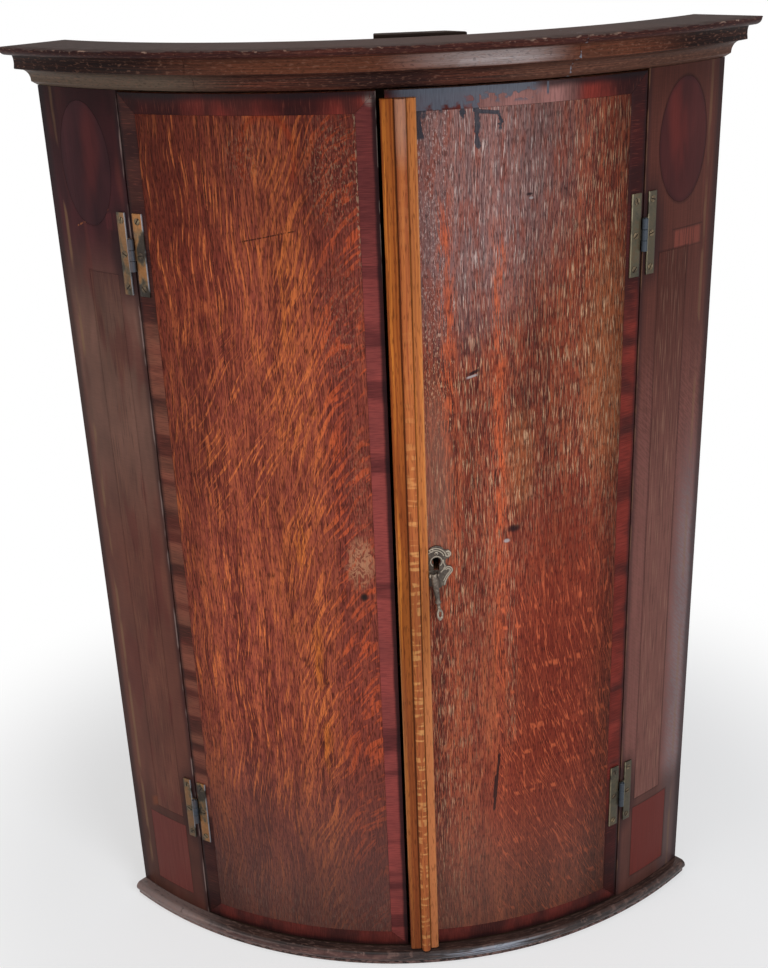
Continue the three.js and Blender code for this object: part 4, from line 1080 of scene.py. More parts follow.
# %% Strip finish
def golden_oak():
    r = Recipe("golden_oak")
    streaks = fine_lines(r, 1.8, 150, 3, detail=4, sway=3)
    broad = fine_lines(r, 8, 260, 4, detail=1)
    tint = r.mix(r.fade(streaks * 0.6 + broad * 0.4, 0.4, 0.6), "#88441e", "#c67630")
    low_down = r.fade(r.up, 430, 300)
    tint = r.mix(low_down * r.fade(r.along, 9, 7) * 0.5, tint, "#7c4630")
    wing_split = r.band(r.along, 0.8, 8.6, 0.8)
    tint = r.mix(wing_split * 0.6, tint, r.mix(streaks, "#5e2a16", "#9a4c26"))
    bead = r.fade(r.out, 8.4 * mm, 10 * mm)
    tint = r.mix(bead * 0.6, tint, r.mix(streaks, "#984a2e", "#c4744a"))
    bend = (r.along - 12.7) ** 2 / 16
    wavy = r.noise(r.vector(r.along / 26, (r.up + bend) / 5, 9), detail=1)
    broken = r.fade(r.noise(r.vector(r.along / 5, r.up / 26, 19), detail=1), 0.36, 0.5)
    cross = r.fade(wavy, 0.5, 0.6) * broken * bead * (0.1 + 0.9 * r.fade(r.up, 680, 480))
    tint = r.mix(cross * 0.62, tint, "#e0a464")
    right_wing = r.fade(r.along, 17.4, 19)
    tint = r.mix(right_wing * (0.4 + 0.5 * low_down), tint, "#c67a4c")
    fine = r.fade(fine_lines(r, 1.1, 12, 7, detail=1), 0.56, 0.7)
    tint = r.mix(fine * 0.5, tint, "#4a2412")
    # Painted highlights along the rounded outer edges of the wings, broken up by the grain
    corners = r.clamp(r.band(r.along, -4, -2.6, 0.6) + r.band(r.along, 24.6, 26.4, 0.6))
    tint = r.mix(corners * r.fade(broad, 0.4, 0.55) * 0.45, tint, "#c98a58")
    # Painted shade in the creases beside the bead, with dirt in them
    grooves = r.clamp(r.band(r.along, 6.8, 8.4, 0.5) + r.band(r.along, 16.9, 18.3, 0.5))
    tint = r.mix(grooves * 0.75, tint, "#3a1c10")
    worn_top = r.at((12.7, 905), (12, 60)) * bead
    tint = r.mix(worn_top * 0.45, tint, "#c09884")
    # Painted light and shade: darker at the foot and the top, lighter from 500 to 720 mm high and darker from
    # 370 to 470 mm
    edge = (0.8 + 0.2 * r.fade(r.up, 0, 160)) * (0.82 + 0.18 * r.fade(r.up, 915, 780))
    tint = r.shade(tint, edge * (1 + 0.16 * r.band(r.up, 500, 720, 50) - 0.16 * r.band(r.up, 370, 470, 30)))
    rough = 0.34 + streaks * 0.14 + fine * 0.1
    return r.finish(tint, rough, streaks * 0.4 - fine * 0.6 + cross * 0.3, 0.25 * mm)


finishes["strip_oak"] = golden_oak()

# %% [markdown]
# Cornice and base have the darkest polish. It is rubbed through to warm brown on the fascia, worn
# pale along the sharp edges, and dusty wherever a moulding faces up. The coat of polish is thickest
# to the right of the middle, and a painted reflection on the fascia and a painted highlight on the
# base lighten it there.

# %% Dust
def dust_on_top(r, tint, amount, rough_patch):
    facing = r.node("ShaderNodeNewGeometry", out="Normal")
    upward = r.node("ShaderNodeSeparateXYZ", {}, {0: facing}, out="Z")
    dust = r.fade(upward, 0.75, 0.98) * amount
    return r.mix(dust * (0.6 + 0.4 * rough_patch), tint, r.mix(rough_patch, "#3a302d", "#4e3f3a")), dust


# %% Cornice finish
def cornice_polish():
    r = Recipe("cornice_polish")
    lines = r.noise(r.vector(r.along / 70, (r.up + r.out * 900) / 1.2, 3), detail=3)
    broad = r.noise(r.vector(r.along / 60, r.up / 9, 5), detail=2)
    grain = r.noise(r.vector(r.along / 7, (r.up + r.out * 800) / 1.1, 7), detail=2)
    rough_patch = r.noise(r.vector(r.along / 5, r.up / 3, r.out * 300), detail=3)
    # Painted shade: the cornice darkens towards both ends
    dark_ends = r.clamp(r.fade(r.along, -90, -220) + r.fade(r.along, 190, 280))
    warm = r.mix(dark_ends, r.mix(broad, "#4a2a20", "#764030"), r.mix(broad, "#1c100e", "#3c2018"))
    tint = r.mix(r.fade(lines, 0.42, 0.62), r.mix(dark_ends, "#35201b", "#1a0e0d"), warm)
    fascia = r.band(r.out, 19 * mm, 22.6 * mm, 0.6 * mm) * r.band(r.up, 931.5, 944.5, 1)
    # Painted reflection: a pale sheen on the fascia right of the middle, where the coat is also glossier
    gloss_and_painted_sheen = fascia * r.fade(r.along, -10, 90) * r.fade(r.along, 160, 100)
    gloss_and_painted_sheen = gloss_and_painted_sheen * r.fade(r.up + lines * 14, 934, 948)
    tint = r.mix(fascia * (1 - dark_ends) * 0.45, tint, r.mix(grain, "#4c2a1e", "#8a5236"))
    tint = r.mix(gloss_and_painted_sheen * 0.75, tint, r.mix(lines, "#8d7b76", "#b8aeac"))
    cove = r.fade(r.up, 933, 929)
    olive = cove * r.fade(r.along, -100, -200)
    tint = r.mix(olive * 0.7, tint, r.mix(lines, "#54463d", "#82705f"))
    tint = r.mix(cove * r.band(r.along, -30, 45, 20) * 0.8, tint, "#251615")
    tint = r.mix(cove * r.fade(r.along, 70, 130) * 0.6, tint, r.mix(lines, "#4c322a", "#74503f"))
    lip = r.fade(r.out, 29 * mm, 33 * mm) * r.fade(r.up, 942, 946)
    tint = r.mix(lip * 0.6, tint, r.mix(broad, "#241618", "#4c2422"))
    edge_wear = r.fade(r.noise(r.vector(r.along / 5, r.up / 2.5, 21), detail=3), 0.56, 0.62)
    top_line = r.fade(r.out, 32.6 * mm, 34.4 * mm) * r.fade(r.up, 949, 951)
    worn_run = r.noise(r.vector(r.along / 34, 0.5, 22), detail=1)
    tint = r.mix(top_line * edge_wear * r.fade(worn_run, 0.4, 0.55) * 0.75, tint, "#a08474")
    joint = r.fade(abs(abs(r.along) - 158), 1.4, 0.5) * r.fade(rough_patch, 0.5, 0.58)
    joint = joint * r.fade(r.along, 0, 1)
    tint = r.mix(joint * 0.8, tint, "#8c94a0")
    tint = r.mix(r.fade(grain, 0.56, 0.7) * 0.4, tint, "#150e10")
    scuffs = r.noise(r.vector(r.along / 4.5, (r.up + r.out * 900) / 1.8, 24), detail=3, distortion=0.5)
    tint = r.mix(r.fade(scuffs, 0.56, 0.66) * 0.4, tint, r.mix(broad, "#6a4234", "#8e6a58"))
    tint = r.mix(r.fade(scuffs, 0.42, 0.34) * 0.4, tint, "#1a1011")
    # Painted shade in the top of the cove under the fascia, and under the lip
    shaded_hollows = r.clamp(r.band(r.up, 926.4, 931.4, 1) * r.fade(r.out, 19 * mm, 15 * mm) * 0.4
                      + r.band(r.out, 22 * mm, 27.4 * mm, 0.6 * mm) * r.fade(r.up, 943, 944) * 0.8)
    tint = r.mix(shaded_hollows * 0.6, tint, "#150d0d")
    tint, dust = dust_on_top(r, tint, 0.95, rough_patch)
    rough = 0.3 + lines * 0.16 + dust * 0.35 - gloss_and_painted_sheen * 0.1
    height = lines * 0.3 - grain * 0.3 + rough_patch * 0.4
    return r.finish(tint, rough, height, 0.25 * mm, coat=gloss_and_painted_sheen * 0.5)


finishes["cornice"] = cornice_polish()

# %% Base finish
def base_polish():
    r = Recipe("base_polish")
    lines = r.noise(r.vector(r.along / 60, (r.up + r.out * 900) / 1.3, 3), detail=3)
    broad = r.noise(r.vector(r.along / 50, r.up / 8, 5), detail=2)
    rough_patch = r.noise(r.vector(r.along / 5, r.up / 3, r.out * 300), detail=3)
    tint = r.mix(r.fade(lines * 0.6 + broad * 0.4, 0.4, 0.6), "#221816", "#4a332c")
    crown = r.fade(r.out, 11.4 * mm, 13 * mm) * r.fade(r.up, 4.4, 6)
    painted_highlight = crown * r.fade(r.along, 10, 60) * r.fade(r.along, 150, 90) * r.fade(lines, 0.42, 0.56)
    left_part = r.fade(r.along, 20, -60)
    # Painted sheen: the crown of the half round is greyer and lighter, pinkish towards the left
    tint = r.mix(crown * 0.5, tint, r.mix(broad, "#33302f", r.mix(left_part, "#54504f", "#8a5c56")))
    tint = r.mix(r.fade(r.along, -190, -280) * 0.8, tint, r.mix(lines, "#74605c", "#96827c"))
    tint = r.mix(r.band(r.along, -24, 26, 12) * 0.45, tint, "#241c1c")
    # A painted highlight, bluish white, on the crown right of the middle
    tint = r.mix(painted_highlight * 0.7, tint, "#a3abb8")
    foot = r.fade(r.up, 5, 3.6) * r.fade(rough_patch, 0.44, 0.58)
    tint = r.mix(foot * 0.7, tint, "#846660")
    scuffs = r.noise(r.vector(r.along / 9, (r.up + r.out * 900) / 1.6, 24), detail=3, distortion=0.5)
    tint = r.mix(r.fade(scuffs, 0.54, 0.64) * (0.3 + 0.25 * left_part), tint, "#86685e")
    tint = r.mix(r.fade(scuffs, 0.44, 0.36) * 0.4, tint, "#1a1213")
    tint = dust_on_top(r, tint, 0.3, rough_patch)[0]
    return r.finish(tint, 0.32 + lines * 0.2, lines * 0.3 + rough_patch * 0.5, 0.25 * mm, coat=0.3)


finishes["base"] = base_polish()

# %% [markdown]
# Inside and behind, the wood never saw polish: pine with soft yellow and brown bands, grey with
# dust. Each board's grain runs along it. Close behind the front, where a board shows, it is made
# almost black.

# %% Pine
def pine(name, run, dark="#664431", light="#9f7759", dusty=0.3):
    """run says which way the grain goes: up, or level"""
    r = Recipe(name)
    places = {"up": (r.along / 6, r.out * 170, r.up / 420), "level": (r.x * 3, r.y * 110, r.z * 110)}
    x, y, z = places[run]
    rings = r.noise(r.vector(x, y, z), detail=3, distortion=0.4)
    fibres = r.noise(r.vector(x * 6, y * 6, z * 2), detail=2)
    tint = r.mix(r.fade(rings, 0.26, 0.72), dark, light)
    tint = r.mix(r.fade(fibres, 0.52, 0.7) * 0.3, tint, dark)
    dirt = r.noise(r.vector(r.x * 9, r.y * 9, r.z * 9), detail=3)
    tint = r.mix(r.fade(dirt, 0.4, 0.66) * dusty, tint, "#4b4039")
    # Almost black within about 30 mm of the front, where a board shows through the gaps
    tint = r.mix(r.fade(r.out, -30 * mm, -12 * mm) * 0.9, tint, "#1c1413")
    return r.finish(tint, 0.66 + fibres * 0.15, rings * 0.4 + fibres * 0.5, 0.3 * mm)


finishes["top_dust"] = pine("top_dust", "level", "#3c322c", "#5c4c40", 0.7)
finishes["pine_up"] = pine("pine_upright", "up")
finishes["pine"] = pine("pine_level", "level")
finishes["cleat"] = pine("cleat_dark", "level", "#1e1613", "#35261e", 0.3)

# %% [markdown]
# The hinges are brass that was never cleaned: olive brown, darker in the corners, rubbed pale
# along their edges, with knuckles of blackened steel. The plate and its pull are greyer.

# %% Metals
def old_brass(name, dark, middle, pale):
    r = Recipe(name)
    cloudy = r.noise(r.vector(r.x * 70, r.y * 70, r.z * 40), detail=3)
    spots = r.noise(r.vector(r.x * 420, r.y * 420, r.z * 420), detail=2)
    tint = r.mix(r.fade(cloudy * 0.7 + spots * 0.3, 0.34, 0.62), dark, middle)
    tint = r.mix(r.fade(spots, 0.6, 0.72) * 0.5, tint, dark)
    metal = 0.7 - r.fade(spots, 0.56, 0.7) * 0.3
    if name == "hinge_brass":
        side = abs(r.along)
        on_left = r.fade(r.along, 10, -10)
        copper = on_left * r.fade(cloudy, 0.4, 0.56)
        tint = r.mix(copper * 0.75, tint, r.mix(spots, "#7c4c26", "#a8713c"))
        tint = r.mix(on_left * r.fade(cloudy, 0.46, 0.38) * 0.7, tint, "#29211e")
        rust = r.fade(spots * 0.5 + cloudy * 0.5, 0.5, 0.58) * (1 - on_left)
        tint = r.mix(rust * 0.6, tint, "#5c4028")
        tint = r.mix((1 - on_left) * 0.45, tint, r.mix(cloudy, "#2e2d2a", "#55503f"))
        stile_leaf = r.fade(side, 243, 245)
        tint = r.mix(stile_leaf * 0.4, tint, "#4e463a")
        worn = r.clamp(r.band(side, 227, 228.2, 0.3) + r.band(side, 246.6, 247.8, 0.3) * 0.8)
        tint = r.mix(worn * r.fade(cloudy, 0.38, 0.5) * 0.7, tint, r.mix(on_left, "#9a8f74", "#8f98a4"))
        rim = r.clamp(r.fade(side, 237.4, 238.6) * r.fade(side, 240.6, 240) + r.fade(side, 255.6, 256.6))
        tint = r.mix(rim * 0.6, tint, "#26221f")
        knuckle = r.fade(r.out, 2.2 * mm, 2.8 * mm)
        tint = r.mix(knuckle * 0.85, tint, "#3c444e")
    else:
        tint = r.mix(r.fade(spots * 0.5 + cloudy * 0.5, 0.52, 0.62) * 0.6, tint, pale)
    if name == "plate_brass":
        # The scrolls are rubbed bright, partly wear and partly a painted highlight, and soot lies round them
        tint = r.mix(r.fade(r.out, 2 * mm, 1.88 * mm) * 0.6, tint, dark)
        tint = r.mix(r.band(r.out, 2.1 * mm, 2.8 * mm, 0.15 * mm) * 0.7, tint, "#c4b8a6")
    if name == "screw_steel":
        # Painted shade, with dirt: the slots and the rim round each head are made nearly black
        tint = r.mix(r.fade(r.out, 2.25 * mm, 2.05 * mm) * 0.9, tint, "#14100f")
    rough = 0.4 + cloudy * 0.25
    sockets = {"Specular IOR Level": 0.4}
    return r.finish(tint, rough, cloudy * 0.4 + spots * 0.5, 0.12 * mm, metal=metal, sockets=sockets)


finishes["hinge"] = old_brass("hinge_brass", "#3a362d", "#625a46", "#948a68")
finishes["screw"] = old_brass("screw_steel", "#3a3028", "#6e5e48", "#8c7a5c")
finishes["plate"] = old_brass("plate_brass", "#4a423c", "#86796c", "#b0a494")
finishes["iron"] = old_brass("lock_iron", "#26221f", "#4b4540", "#6c655c")
print(len(finishes), "finishes")

# %% [markdown]
# The cornice is mahogany in three lengths that butt end to end, with a cove below, a flat fascia and
# a rounded lip. A joiner would run such a profile with a moulding plane. So its section is drawn once
# and spun along each length. A hundred and fifty years of knocks then take small bites off the lip.

# %% Cornice
cornice_joint = 158 * mm
moulding_gap = fit_gap / 2
wall_arc = half_front
lip_reach = 34.2 * mm
lip_height = case_top + 35.2 * mm
chip_depth = 1.8 * mm
chip_seed = 5


def cornice_section():
    base = case_top / mm
    outline = [(0, 0.3), (1.2, 1.1), (5.6, 3.6), (6, 4.2)]
    outline += rounded((16, 4.6), (10, 10.4), 180, 90, 10)
    outline += [(16.4, 15.6), (21.2, 16), (21.6, 16.6), (21, 20.6), (21.1, 24.6), (21.9, 27.6)]
    outline += [(22.6, 28.2), (23.2, 28.5), (26.4, 28.6)]
    outline += rounded((27, 34.6), (7.6, 6), -90, 0, 9)
    outline += [(35, 34.9), (35, 35.6), (34.4, 36), (20, 36), (2, 36), (-16, 36), (-34.6, 36), (-35, 35.6)]
    outline += [(-35, 3.3), (-20.5, 3.3), (-20.5, 0.3)]
    return [(out * mm, (base + up) * mm) for out, up in outline]


def chip_lip(obj, count, arcs):
    """Breaks small pieces off the lip's sharp edge, in random places between two arcs"""
    dice = random.Random(chip_seed)
    edit(obj)
    bpy.ops.mesh.select_mode(type="VERT")
    for _ in range(count):
        spot = dice.uniform(arcs[0] + 9 * mm, arcs[1] - 9 * mm)
        reach, bite = dice.uniform(1.8, 4.5) * mm, dice.uniform(0.4, 1) * chip_depth
        bpy.ops.mesh.select_all(action="DESELECT")
        leave()
        for vertex in obj.data.vertices:
            arc, out = arc_and_out(vertex.co)
            vertex.select = abs(arc - spot) < reach and out > lip_reach and vertex.co.z > lip_height
        bpy.ops.object.mode_set(mode="EDIT")
        bpy.ops.transform.translate(value=outward(spot) * -bite + Vector((0, 0, -bite * 0.7)))
    leave()


cornice_lengths = [("cornice_left", -wall_arc, -cornice_joint - moulding_gap, 16),
                   ("cornice_middle", -cornice_joint + moulding_gap, cornice_joint - moulding_gap, 22),
                   ("cornice_right", cornice_joint + moulding_gap, wall_arc, 18)]
for node, arc_from, arc_to, chips in cornice_lengths:
    moulding = spun_moulding(node + "_moulding", cornice_section(), arc_from, arc_to)
    chip_lip(moulding, chips, (arc_from, arc_to))
    smooth_over(moulding)
    settle(moulding, "carcass", finishes["cornice"], "cornice_wood", node)

# %% [markdown]
# The cupboard ends in a half round on a small fillet, run and bent in the same way as the cornice,
# but in one length. It hides the front edge of the bottom board.

# %% Base moulding
half_round = rounded((8, 10), (6, 6), -90, 90, 14)
base_section = in_mm([(0.3, 0), (10.4, 0), (11, 0.6), (11, 3.6), (10.6, 4), *half_round, (0.3, 16)])
moulding = spun_moulding("base_half_round", base_section, -wall_arc, wall_arc)
smooth_over(moulding)
settle(moulding, "carcass", finishes["base"], "cornice_wood", "base_moulding")

# %% [markdown]
# Each stile is a narrow curved board that carries the doors. Its inlays are thin slips of veneer that
# were let into shallow recesses and glued. Here too the recesses are cut out first, a hair larger
# than the slips, so that a fine dark line is left round every inlay.

# %% Stiles and inlays
inlay_depth = 1.2 * mm
saw_reach = 2 * mm
oval_arc = 291 * mm
oval_half_width = 31.8 * mm
oval_half_height = 55.5 * mm
oval_middle = (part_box("left_stile_oval")[0].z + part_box("left_stile_oval")[1].z) / 2
panels = {"tall_panel": (264.9 * mm, 303.1 * mm), "lower_panel": (262.9 * mm, 317.1 * mm)}


def oval_prism(name, arc, half_width, half_height):
    bpy.ops.object.select_all(action="DESELECT")
    bpy.ops.mesh.primitive_cylinder_add(vertices=96, radius=1, depth=12 * mm)
    bpy.context.object.scale = (half_width, half_height, 1)
    obj = fixed(name)
    return put(obj, front_frame(arc, oval_middle))


def oval_board(name, arc, spare, inner, outer):
    half_width, half_height = oval_half_width + spare, oval_half_height + spare
    obj = bent_board(name, inner, outer, oval_middle - half_height - mm, oval_middle + half_height + mm,
                     arc - half_width - mm, arc + half_width + mm)
    return carry_out(obj, "oval", oval_prism("oval_saw", arc, half_width, half_height), "INTERSECT")


for side, word in [(-1, "left"), (1, "right")]:
    ends = sorted((side * (seam_arc + seam_gap / 2), side * wall_arc))
    stile = bent_board(word + "_stile_board", -stile_thickness, 0, case_bottom, case_top, *ends)
    recess = oval_board("recess", side * oval_arc, fit_gap, -inlay_depth, saw_reach)
    carry_out(stile, "recess", recess, "DIFFERENCE")
    inlay = oval_board(word + "_oval_inlay", side * oval_arc, 0, -inlay_depth + glue_gap, 0)
    smooth_over(inlay)
    settle(inlay, "carcass", finishes["oval"], "inlay_wood", word + "_stile_oval")
    for panel, (near, far) in panels.items():
        node = f"{word}_stile_{panel}"
        low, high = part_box(node)[0].z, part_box(node)[1].z
        ends = sorted((side * near, side * far))
        recess = bent_board("recess", -inlay_depth, saw_reach, low - fit_gap, high + fit_gap,
                            ends[0] - fit_gap, ends[1] + fit_gap)
        carry_out(stile, "recess", recess, "DIFFERENCE")
        inlay = bent_board(f"{word}_{panel}_inlay", -inlay_depth + glue_gap, 0, low, high, *ends)
        smooth_over(inlay)
        settle(inlay, "carcass", finishes[panel], "inlay_wood", node)
    smooth_over(stile)
    settle(stile, "carcass", finishes["stile"], "stile_mahogany", word + "_stile")

# %% [markdown]
# A door is a thick curved board with its front edges lowered, so that the crossbands can be glued
# in flush with the oak field. The field is raised here instead: the board is made to the bottom of
# the bands, cut along their inner lines, and its middle is pulled out. The bands meet in mitres,
# sawn at 45 degrees, except beside the strip, where the lying ones run on beneath it.

# %% Doors
band_width = 17.5 * mm
band_thickness = 1.5 * mm
free_edges = {"left": meeting_arc - meeting_gap, "right": meeting_arc}


def cut_across(arc_from, arc_to, height_from, height_to):
    """Bisects along the lines that bound a field on the front"""
    for arc in (arc_from, arc_to):
        bpy.ops.mesh.select_all(action="SELECT")
        bpy.ops.mesh.bisect(plane_co=corner, plane_no=tangent(arc))
    for height in (height_from, height_to):
        bpy.ops.mesh.select_all(action="SELECT")
        bpy.ops.mesh.bisect(plane_co=(0, 0, height), plane_no=(0, 0, 1))


def door_board(word, side):
    hinge, free = side * hinge_edge, free_edges[word]
    ends = sorted((hinge, free))
    obj = bent_board(word + "_door_board", -door_thickness, -band_thickness, door_bottom, door_top, *ends)
    margin = band_width + fit_gap / 2
    field_free = free + side * margin if word == "left" else free
    field = sorted((hinge - side * margin, field_free))
    low, high = door_bottom + margin, door_top - margin
    edit(obj)
    cut_across(field[0] if word == "left" else field[1], field[1], low, high)
    deepest = -band_thickness - 0.2 * mm

    def in_field(centre, normal):
        arc, out = arc_and_out(centre)
        return field[0] < arc < field[1] and low < centre.z < high and out > deepest and abs(normal.z) < 0.5

    pick_faces(obj, in_field)
    bpy.ops.mesh.extrude_region_shrink_fatten(TRANSFORM_OT_shrink_fatten={"value": band_thickness})
    leave()
    print(word, "door field from", round(field[0] / mm), "to", round(field[1] / mm), "mm along the front")
    return obj


def mitred(obj, arc, height, along, up):
    """Saws the corner of a band at 45 degrees, on the side that (along, up) points to"""
    edit(obj)
    normal = (tangent(arc) * along + Vector((0, 0, up))).normalized()
    place = front(arc, height) - normal * fit_gap / 4
    bpy.ops.mesh.bisect(plane_co=place, plane_no=normal, clear_outer=True, use_fill=True)
    tidy_up()
    leave()


def tall_band(name, arc, inward):
    obj = bent_board(name, -band_thickness + glue_gap, 0, door_bottom, door_top,
                     *sorted((arc, arc + inward * band_width)))
    mitred(obj, arc, door_top, inward, 1)
    mitred(obj, arc, door_bottom, inward, -1)
    return obj


def flat_band(name, word, side, edge, inward):
    ends = sorted((side * hinge_edge, free_edges[word]))
    sides = sorted((edge, edge + inward * band_width))
    obj = bent_board(name, -band_thickness + glue_gap, 0, *sides, *ends)
    mitred(obj, side * hinge_edge, edge, side, inward)
    if word == "left":
        mitred(obj, free_edges[word], edge, -side, inward)
    return obj


for side, word in [(-1, "left"), (1, "right")]:
    body = word + "_door"
    board = door_board(word, side)
    ease_edges(board, 0.5 * mm)
    settle(board, body, finishes[word + "_oak"], "door_oak", word + "_door_core")
    bands = {"hinge_band": tall_band(word + "_hinge_crossband", side * hinge_edge, -side),
             "top_band": flat_band(word + "_top_crossband", word, side, door_top, -1),
             "bottom_band": flat_band(word + "_bottom_crossband", word, side, door_bottom, 1)}
    if word == "left":
        bands["meeting_band"] = tall_band("left_meeting_crossband", free_edges[word], side)
    for node, band in bands.items():
        ease_edges(band, 0.25 * mm)
        lay = "flat" if node in ("top_band", "bottom_band") else "tall"
        settle(band, body, finishes["crossband_" + lay], "band_mahogany", f"{word}_door_{node}")

# %% [markdown]
# The strip is an oak astragal: two flat wings with rounded edges and a raised bead between them. It
# is fixed to the right door and laps over the left one, so the right door opens first. Its section
# is drawn at the foot and pulled straight up in short steps.

# %% Cover strip
strip_left = -3.6
strip_bottom, strip_top = [place.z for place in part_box("cover_strip")]
strip_steps = 60
strip_section = [(0, 0), (29.5, 0), (29.5, 5.6), *rounded((27, 5.5), (2.5, 2.5), 0, 90, 5),
                 (21.4, 8), (20.8, 8.4)]
strip_section += rounded((16.3, 8.8), (4.5, 4.2), 0, 180, 14)
strip_section += [(11.8, 8.4), (11.2, 8), *rounded((2.5, 5.5), (2.5, 2.5), 90, 180, 5)]
foot = [front((strip_left + along) * mm, strip_bottom, (0.3 + proud) * mm)
        for along, proud in strip_section]
strip = drawn_outline("cover_strip_moulding", foot)
edit(strip)
rise = (0, 0, (strip_top - strip_bottom) / strip_steps)
for _ in range(strip_steps):
    bpy.ops.mesh.extrude_region_move(TRANSFORM_OT_translate={"value": rise})
tidy_up()
leave()
smooth_over(strip)
settle(strip, "right_door", finishes["strip_oak"], "strip_oak", "cover_strip")

# %% [markdown]
# H-hinges are cut from sheet brass. Both leaves are screwed on from the front, and narrow tabs reach
# for the knuckles that turn on a steel pin: two on the stile's leaf and one between them on the
# door's. One leaf of each kind is made for a side, round height 0, and copied to both heights.
# The screws are countersunk, and no two slots point the same way, as nobody lined them up.

# %% Hinges
hinge_height = 76 * mm
barrel_half = 15 * mm
barrel_radius = 3 * mm
pin_radius = 1.4 * mm
knuckle_length = (2 * barrel_half - 0.6 * mm) / 3
leaf_inner = 0.3 * mm
leaf_outer = 1.9 * mm
barrel_out = 3.3 * mm
stile_leaf_arcs = (247 * mm, 256.6 * mm)
door_leaf_arcs = (227.4 * mm, 238.4 * mm)
hinge_middles = {"upper": case_top - 144 * mm, "lower": base_top + 142 * mm}
screw_spacing = 31 * mm
tab_step = 0.1 * mm
stile_tab_arc = 245.2 * mm
barrel_clear = 1.8 * mm


def add_tab(leaf, side, arcs, low, high):
    """A tab a little thinner than the leaf, so that no two faces lie in one another"""
    tab = bent_board("tab", leaf_inner + tab_step, leaf_outer - tab_step, low, high,
                     *sorted(side * arc for arc in arcs))
    carry_out(leaf, "tab", tab, "UNION")


def hinge_leaf(name, side, arcs, tab_arcs, tab_heights, knuckles):
    """A leaf, the tab that reaches for the barrel, and its knuckles, as one solid round height 0"""
    leaf = bent_board(name, leaf_inner, leaf_outer, -hinge_height / 2, hinge_height / 2,
                      *sorted(side * arc for arc in arcs))
    ease_edges(leaf, 0.3 * mm)
    for low, high in tab_heights:
        add_tab(leaf, side, tab_arcs, low, high)
    for low, high in knuckles:
        bore, edge = pin_radius + 0.2 * mm, 0.3 * mm
        profile = [(bore, low), (barrel_radius - edge, low), (barrel_radius, low + edge),
                   (barrel_radius, high - edge), (barrel_radius - edge, high), (bore, high)]
        ring = turned("knuckle", profile, Matrix.Translation(front(side * seam_arc, 0, barrel_out)), 20, True)
        carry_out(leaf, "knuckle", ring, "UNION")
    return smooth_over(leaf)


def slotted_screw(name, place, turn):
    """A countersunk head with a filed slot"""
    profile = in_mm([(0, -0.5), (2.8, -0.5), (3.2, 0), (3.1, 0.3), (2.2, 0.52), (1.1, 0.62), (0, 0.65)])
    head = turned(name, profile, upright, 20)
    slot = block("slot", (-4 * mm, -0.5 * mm, 0), (4 * mm, 0.5 * mm, 2 * mm), Matrix.Rotation(turn, 4, "Z"))
    carry_out(head, "slot", slot, "DIFFERENCE")
    return put(head, place)


third = knuckle_length / 2
outer_thirds = [(-barrel_half, -barrel_half + knuckle_length), (barrel_half - knuckle_length, barrel_half)]
slot_turns = {("left", "stile"): (40, -30, 75), ("left", "door"): (-45, 10, 55),
              ("right", "stile"): (60, 15, -20), ("right", "door"): (48, 38, -70)}
for side, word in [(-1, "left"), (1, "right")]:
    stile_leaf = hinge_leaf("stile_leaf", side, stile_leaf_arcs, (stile_tab_arc, stile_leaf_arcs[0] + mm),
                            [(-barrel_half, barrel_half)], outer_thirds)
    for low, high in outer_thirds:
        add_tab(stile_leaf, side, (seam_arc + barrel_clear, 246 * mm), low, high)
    door_leaf = hinge_leaf("door_leaf", side, door_leaf_arcs, (door_leaf_arcs[1] - mm, seam_arc - barrel_clear),
                           [(-third, third)], [(-third, third)])
    pin = turned("pin", [(0, -barrel_half - 0.6 * mm), (pin_radius, -barrel_half), (pin_radius, barrel_half),
                         (pin_radius * 0.6, barrel_half + 0.6 * mm), (0, barrel_half + 0.8 * mm)],
                 Matrix.Translation(front(side * seam_arc, 0, barrel_out)), 16)
    for row, middle in hinge_middles.items():
        up = Matrix.Translation((0, 0, middle))
        bodies = {"stile_leaf": ("carcass", stile_leaf), "door_leaf": (word + "_door", door_leaf),
                  "hinge_pin": ("carcass", pin)}
        for node, (body, source) in bodies.items():
            piece = own_copy(source, f"{word}_{row}_{node}_brass", up)
            settle(piece, body, finishes["hinge"], "hinge_brass", f"{word}_{row}_{node}")
        for part, arcs in (("stile", stile_leaf_arcs), ("door", door_leaf_arcs)):
            body = "carcass" if part == "stile" else word + "_door"
            places = [front_frame(side * sum(arcs) / 2, middle + step * screw_spacing, leaf_outer)
                      for step in (-1, 0, 1)]
            screws = [slotted_screw("screw", place, math.radians(turn))
                      for place, turn in zip(places, slot_turns[word, part])]
            piece = joined(f"{word}_{row}_{part}_leaf_screws", screws)
            settle(piece, body, finishes["screw"], "hinge_brass")
    for source in (stile_leaf, door_leaf, pin):
        bpy.data.objects.remove(source)

# %% [markdown]
# The plate is a small casting of scrolls and leaves, with one side cut off straight so that it
# fits beside the strip. Half of the outline is drawn, and the other half mirrors it as far as the
# cut. The scrolls are thin rods that are melted into the plate, and the keyhole goes right through
# the plate and the door behind it.

